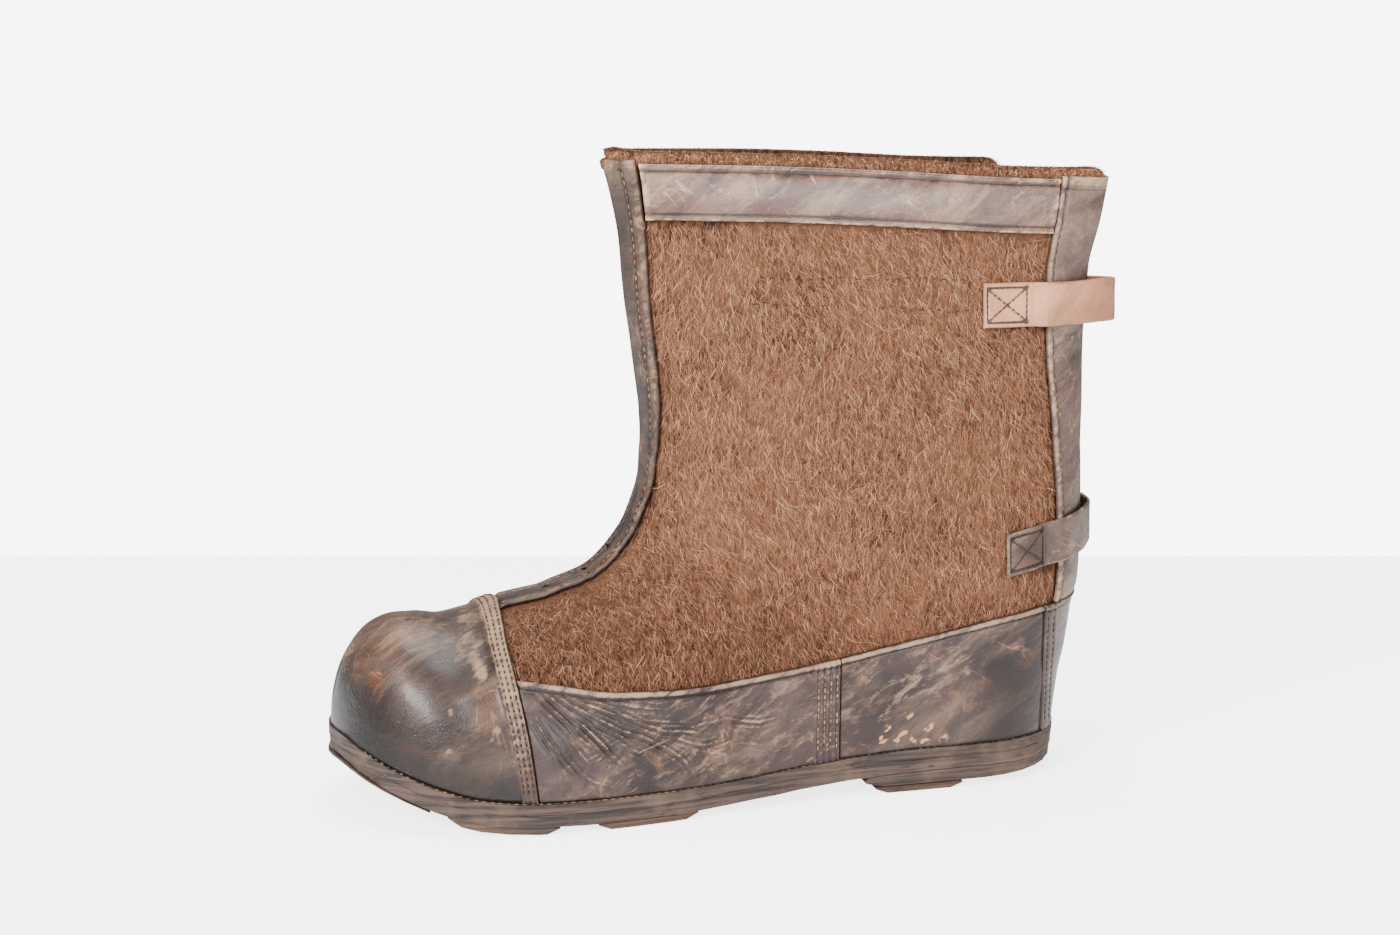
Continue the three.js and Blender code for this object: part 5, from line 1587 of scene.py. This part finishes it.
def exposed(x, z, side):
    """Where the felt shows on the outside of the boot."""
    below_band = z < rim_over(x, side) - rim_above_band - collar_band_height - 0.3
    front_edge = np.where(z > pivot_z, strip_edge(z) + 0.3, -1e6)
    turn = 1.0 - np.arctan2(pivot_z - z, x - pivot_x) / (math.pi / 2)
    radius = np.hypot(x - pivot_x, z - pivot_z)
    instep = instep_radius(turn) + strip_depth_instep(turn) * shaft_depth + 0.3
    ahead = np.where(z > pivot_z, x > front_edge, radius > instep)
    ahead = np.where(x < pivot_x, z < vamp_z(x) - 0.0045 * shaft_depth - 0.3, ahead)
    behind = x < binding_edge(z, side) - 0.3
    shown = below_band & ahead & behind & (z > rand_top(x) + 0.3) & (x > cap_edge(z) + 0.3)
    low_patch = (np.abs(x - (back_x(lower_height, side) - 36)) < 14) & (np.abs(z - lower_height) < 11)
    high = upper_height - np.where(side > 0, 6.0, 0.0)
    high_patch = (np.abs(x - (back_x(upper_height, side) - 38)) < 15.5) & (np.abs(z - high) < 10)
    return shown & ~low_patch & ~high_patch


def strands(name, roots, outward, down, seed, length, width, lift, spread, light=0.5):
    """Hairs as tapering ribbons of two stretches, laid from roots along down within a spread."""
    rng = np.random.default_rng(seed)
    count = len(roots)
    across = np.cross(outward, down)
    angle = rng.normal(0.0, spread, count)[:, None]
    way = down * np.cos(angle) + across * np.sin(angle)
    sideways = -down * np.sin(angle) + across * np.cos(angle)
    long = length * rng.lognormal(0.0, 0.35, count)[:, None]
    rise = lift * np.abs(rng.normal(0.6, 0.5, count))[:, None]
    curl = rng.normal(0.0, 0.35, count)[:, None]
    half = 0.5 * width * rng.uniform(0.7, 1.3, count)[:, None]
    points = []
    for t, taper in ((0.0, 1.0), (0.5, 0.85)):
        centre = roots + way * (long * t) + sideways * (long * curl * t * t)
        centre = centre + outward * (rise * math.sin(t * 2.6) - 0.15)
        flat = sideways * (half * taper)
        points += [centre - flat, centre + flat]
    points.append(roots + way * long + sideways * (long * curl) + outward * (rise * 0.45))
    vertices = np.stack(points, axis=1).reshape(-1, 3) * MM
    base = np.arange(count)[:, None] * 5
    quads = base + [0, 1, 3, 2]
    tips = base + [2, 3, 4]
    mesh = bpy.data.meshes.new(name)
    mesh.from_pydata(vertices.tolist(), [], quads.tolist() + tips.tolist())
    tone = mesh.attributes.new("tone", "FLOAT", "POINT")
    shades = np.clip(rng.normal(light, 0.26, count), 0, 1)
    tone.data.foreach_set("value", np.repeat(shades, 5).astype(np.float32))
    mesh.polygons.foreach_set("use_smooth", [True] * len(mesh.polygons))
    piece = bpy.data.objects.new(name, mesh)
    bpy.context.scene.collection.objects.link(piece)
    return fit(piece, hair_material, "felt")


def panel_hair(name, side, count, seed, length, width, lift, spread, light):
    rng = np.random.default_rng(seed)
    x = rng.uniform(-200.0, 85.0, count * 14)
    z = rng.uniform(55.0, 272.0, count * 14)
    shown = exposed(x, z, side)
    x, z = x[shown], z[shown]
    area = 1.0 / np.maximum(np.abs(skin(x, z, side)[1][:, 1]), 0.12)
    kept = rng.choice(len(x), size=count, replace=False, p=area / area.sum())
    x, z = x[kept], z[kept]
    root, outward = skin(x, z, side, 0.0)
    lower, _ = skin(x, z - 1.0, side, 0.0)
    down = lower - root
    down = down / np.linalg.norm(down, axis=1, keepdims=True)
    swirl = 0.12 + 0.16 * np.sin(x / 37.0 + z / 29.0) + 0.13 * np.sin(z / 13.0 - x / 19.0)
    across = np.cross(outward, down)
    down = down * np.cos(swirl)[:, None] + across * np.sin(swirl)[:, None]
    # Painted shade: the hairs are darker low down and toward the front of the foot.
    light = light - 0.3 * painted_shade(x, z)
    return strands(name, root, outward, down, seed + 1, length, width, lift, spread, light)


panel_hair("hair_lateral_short", -1.0, 39000, 11, 4.6, 0.13, 0.6, 0.28, 0.45)
panel_hair("hair_lateral_under", -1.0, 26000, 14, 3.2, 0.14, 0.35, 0.5, 0.3)
panel_hair("hair_lateral_long", -1.0, 15000, 12, 6.5, 0.13, 0.9, 0.45, 0.58)
panel_hair("hair_medial", 1.0, 32000, 13, 4.6, 0.2, 0.7, 0.35, 0.48)


def rim_hair(count, seed):
    """Short hair on the rim, above the collar bands and over the edge to the inside."""
    rng = np.random.default_rng(seed)
    across = rng.uniform(-1.0, 1.0, count)
    side = np.where(across < 0, -1.0, 1.0)
    x, z = on_section(sections[-1], np.abs(across), side)
    around = rng.uniform(0.0, 1.0, count)
    out = np.clip((around - 0.35) / 0.3, 0.0, 1.0)
    depth = np.where(around < 0.35, (0.35 - around) / 0.35 * rim_above_band, 0.0)
    depth = np.where(around > 0.65, (around - 0.65) / 0.35 * 30.0, depth)
    root, outward = skin(x, z - corner_drop(x, z, side) - depth, side, -felt_wall * out)
    top = np.array([0.0, 0.0, 1.0])
    facing = np.where(around[:, None] < 0.35, outward, np.where(around[:, None] > 0.65, -outward, top))
    along = np.cross(outward, top)
    along = along / np.maximum(np.linalg.norm(along, axis=1, keepdims=True), 1e-6)
    lie = np.where((depth > 0)[:, None], -top, along * np.sign(rng.uniform(-1, 1, count))[:, None])
    lie = lie - facing * (lie * facing).sum(axis=1, keepdims=True)
    lie = lie / np.maximum(np.linalg.norm(lie, axis=1, keepdims=True), 1e-6)
    return strands("hair_rim", root, facing, lie, seed + 1, 2.6, 0.18, 0.5, 0.7, 0.5)


rim_hair(22000, 21)


# Stage
# A pale table top with a bright room behind it, soft light from large lamps, and the camera at
# the photograph's angle. The table's far edge is level in the picture.
camera_data = bpy.data.cameras.new("Camera")
camera_data.sensor_width = 36.0
camera_data.lens = 64.29
camera = bpy.data.objects.new("Camera", camera_data)
bpy.context.scene.collection.objects.link(camera)
bpy.context.scene.camera = camera
forward = Vector((0.2514, 0.9471, -0.1994)).normalized()
right = Vector((0.9665, -0.2565, 0.0)).normalized()
upward = right.cross(forward)
turned = Matrix((right, upward, -forward)).transposed()
camera.matrix_world = Matrix.Translation((-0.3843, -1.0951, 0.3795)) @ turned.to_4x4()

cloth = Finish("white_table", {"Specular IOR Level": 0.1})
cloth.surface.inputs["Emission Color"].default_value = (1.0, 1.0, 1.0, 1.0)
looked_at = cloth.tree.nodes.new("ShaderNodeLightPath").outputs["Is Camera Ray"]
cloth.feed(cloth.surface.inputs["Emission Strength"], cloth.between(looked_at, 0.0, 1.0, 0.3, 3.2))
folds = cloth.noise(9.0, 3.0, 0.5, 0.6, cloth.stretch((0.5, 1.6, 1.0), (0.0, 0.0, 0.3)))
cloth_material = cloth.paint(linear(246, 246, 248), 0.9, cloth.bump(folds, 0.006, 0.35))
table = bmesh.new()
bmesh.ops.create_grid(table, x_segments=1, y_segments=1, size=1.6)
bmesh.ops.translate(table, verts=table.verts, vec=(0.0, -1.18, 0.0))
bmesh.ops.rotate(table, verts=table.verts, matrix=Matrix.Rotation(math.atan2(right.y, right.x), 3, "Z"))
table_mesh = bpy.data.meshes.new("table")
table.to_mesh(table_mesh)
table.free()
table_mesh.materials.append(cloth_material)
table_top = bpy.data.objects.new("table", table_mesh)
bpy.context.scene.collection.objects.link(table_top)

world = bpy.data.worlds.new("World")
bpy.context.scene.world = world
world.use_nodes = True
room = world.node_tree.nodes["Background"]
room.inputs["Color"].default_value = (1.0, 1.0, 1.0, 1.0)
seen = world.node_tree.nodes.new("ShaderNodeLightPath")
glow = world.node_tree.nodes.new("ShaderNodeMapRange")
world.node_tree.links.new(seen.outputs["Is Camera Ray"], glow.inputs["Value"])
glow.inputs["To Min"].default_value = 0.5
glow.inputs["To Max"].default_value = 7.5
world.node_tree.links.new(glow.outputs["Result"], room.inputs["Strength"])


def lamp(name, place, aim, size, power):
    data = bpy.data.lights.new(name, "AREA")
    data.energy = power
    data.size = size
    light = bpy.data.objects.new(name, data)
    light.location = place
    light.rotation_euler = (Vector(aim) - Vector(place)).to_track_quat("-Z", "Y").to_euler()
    bpy.context.scene.collection.objects.link(light)


lamp("Key", (-1.75, -1.3, 1.3), (-0.1, 0.0, 0.12), 0.8, 105.0)
lamp("Fill", (0.1, -2.5, 0.6), (0.0, 0.0, 0.15), 1.0, 60.0)
lamp("Top", (0.1, 0.2, 2.0), (-0.05, 0.0, 0.1), 1.4, 65.0)
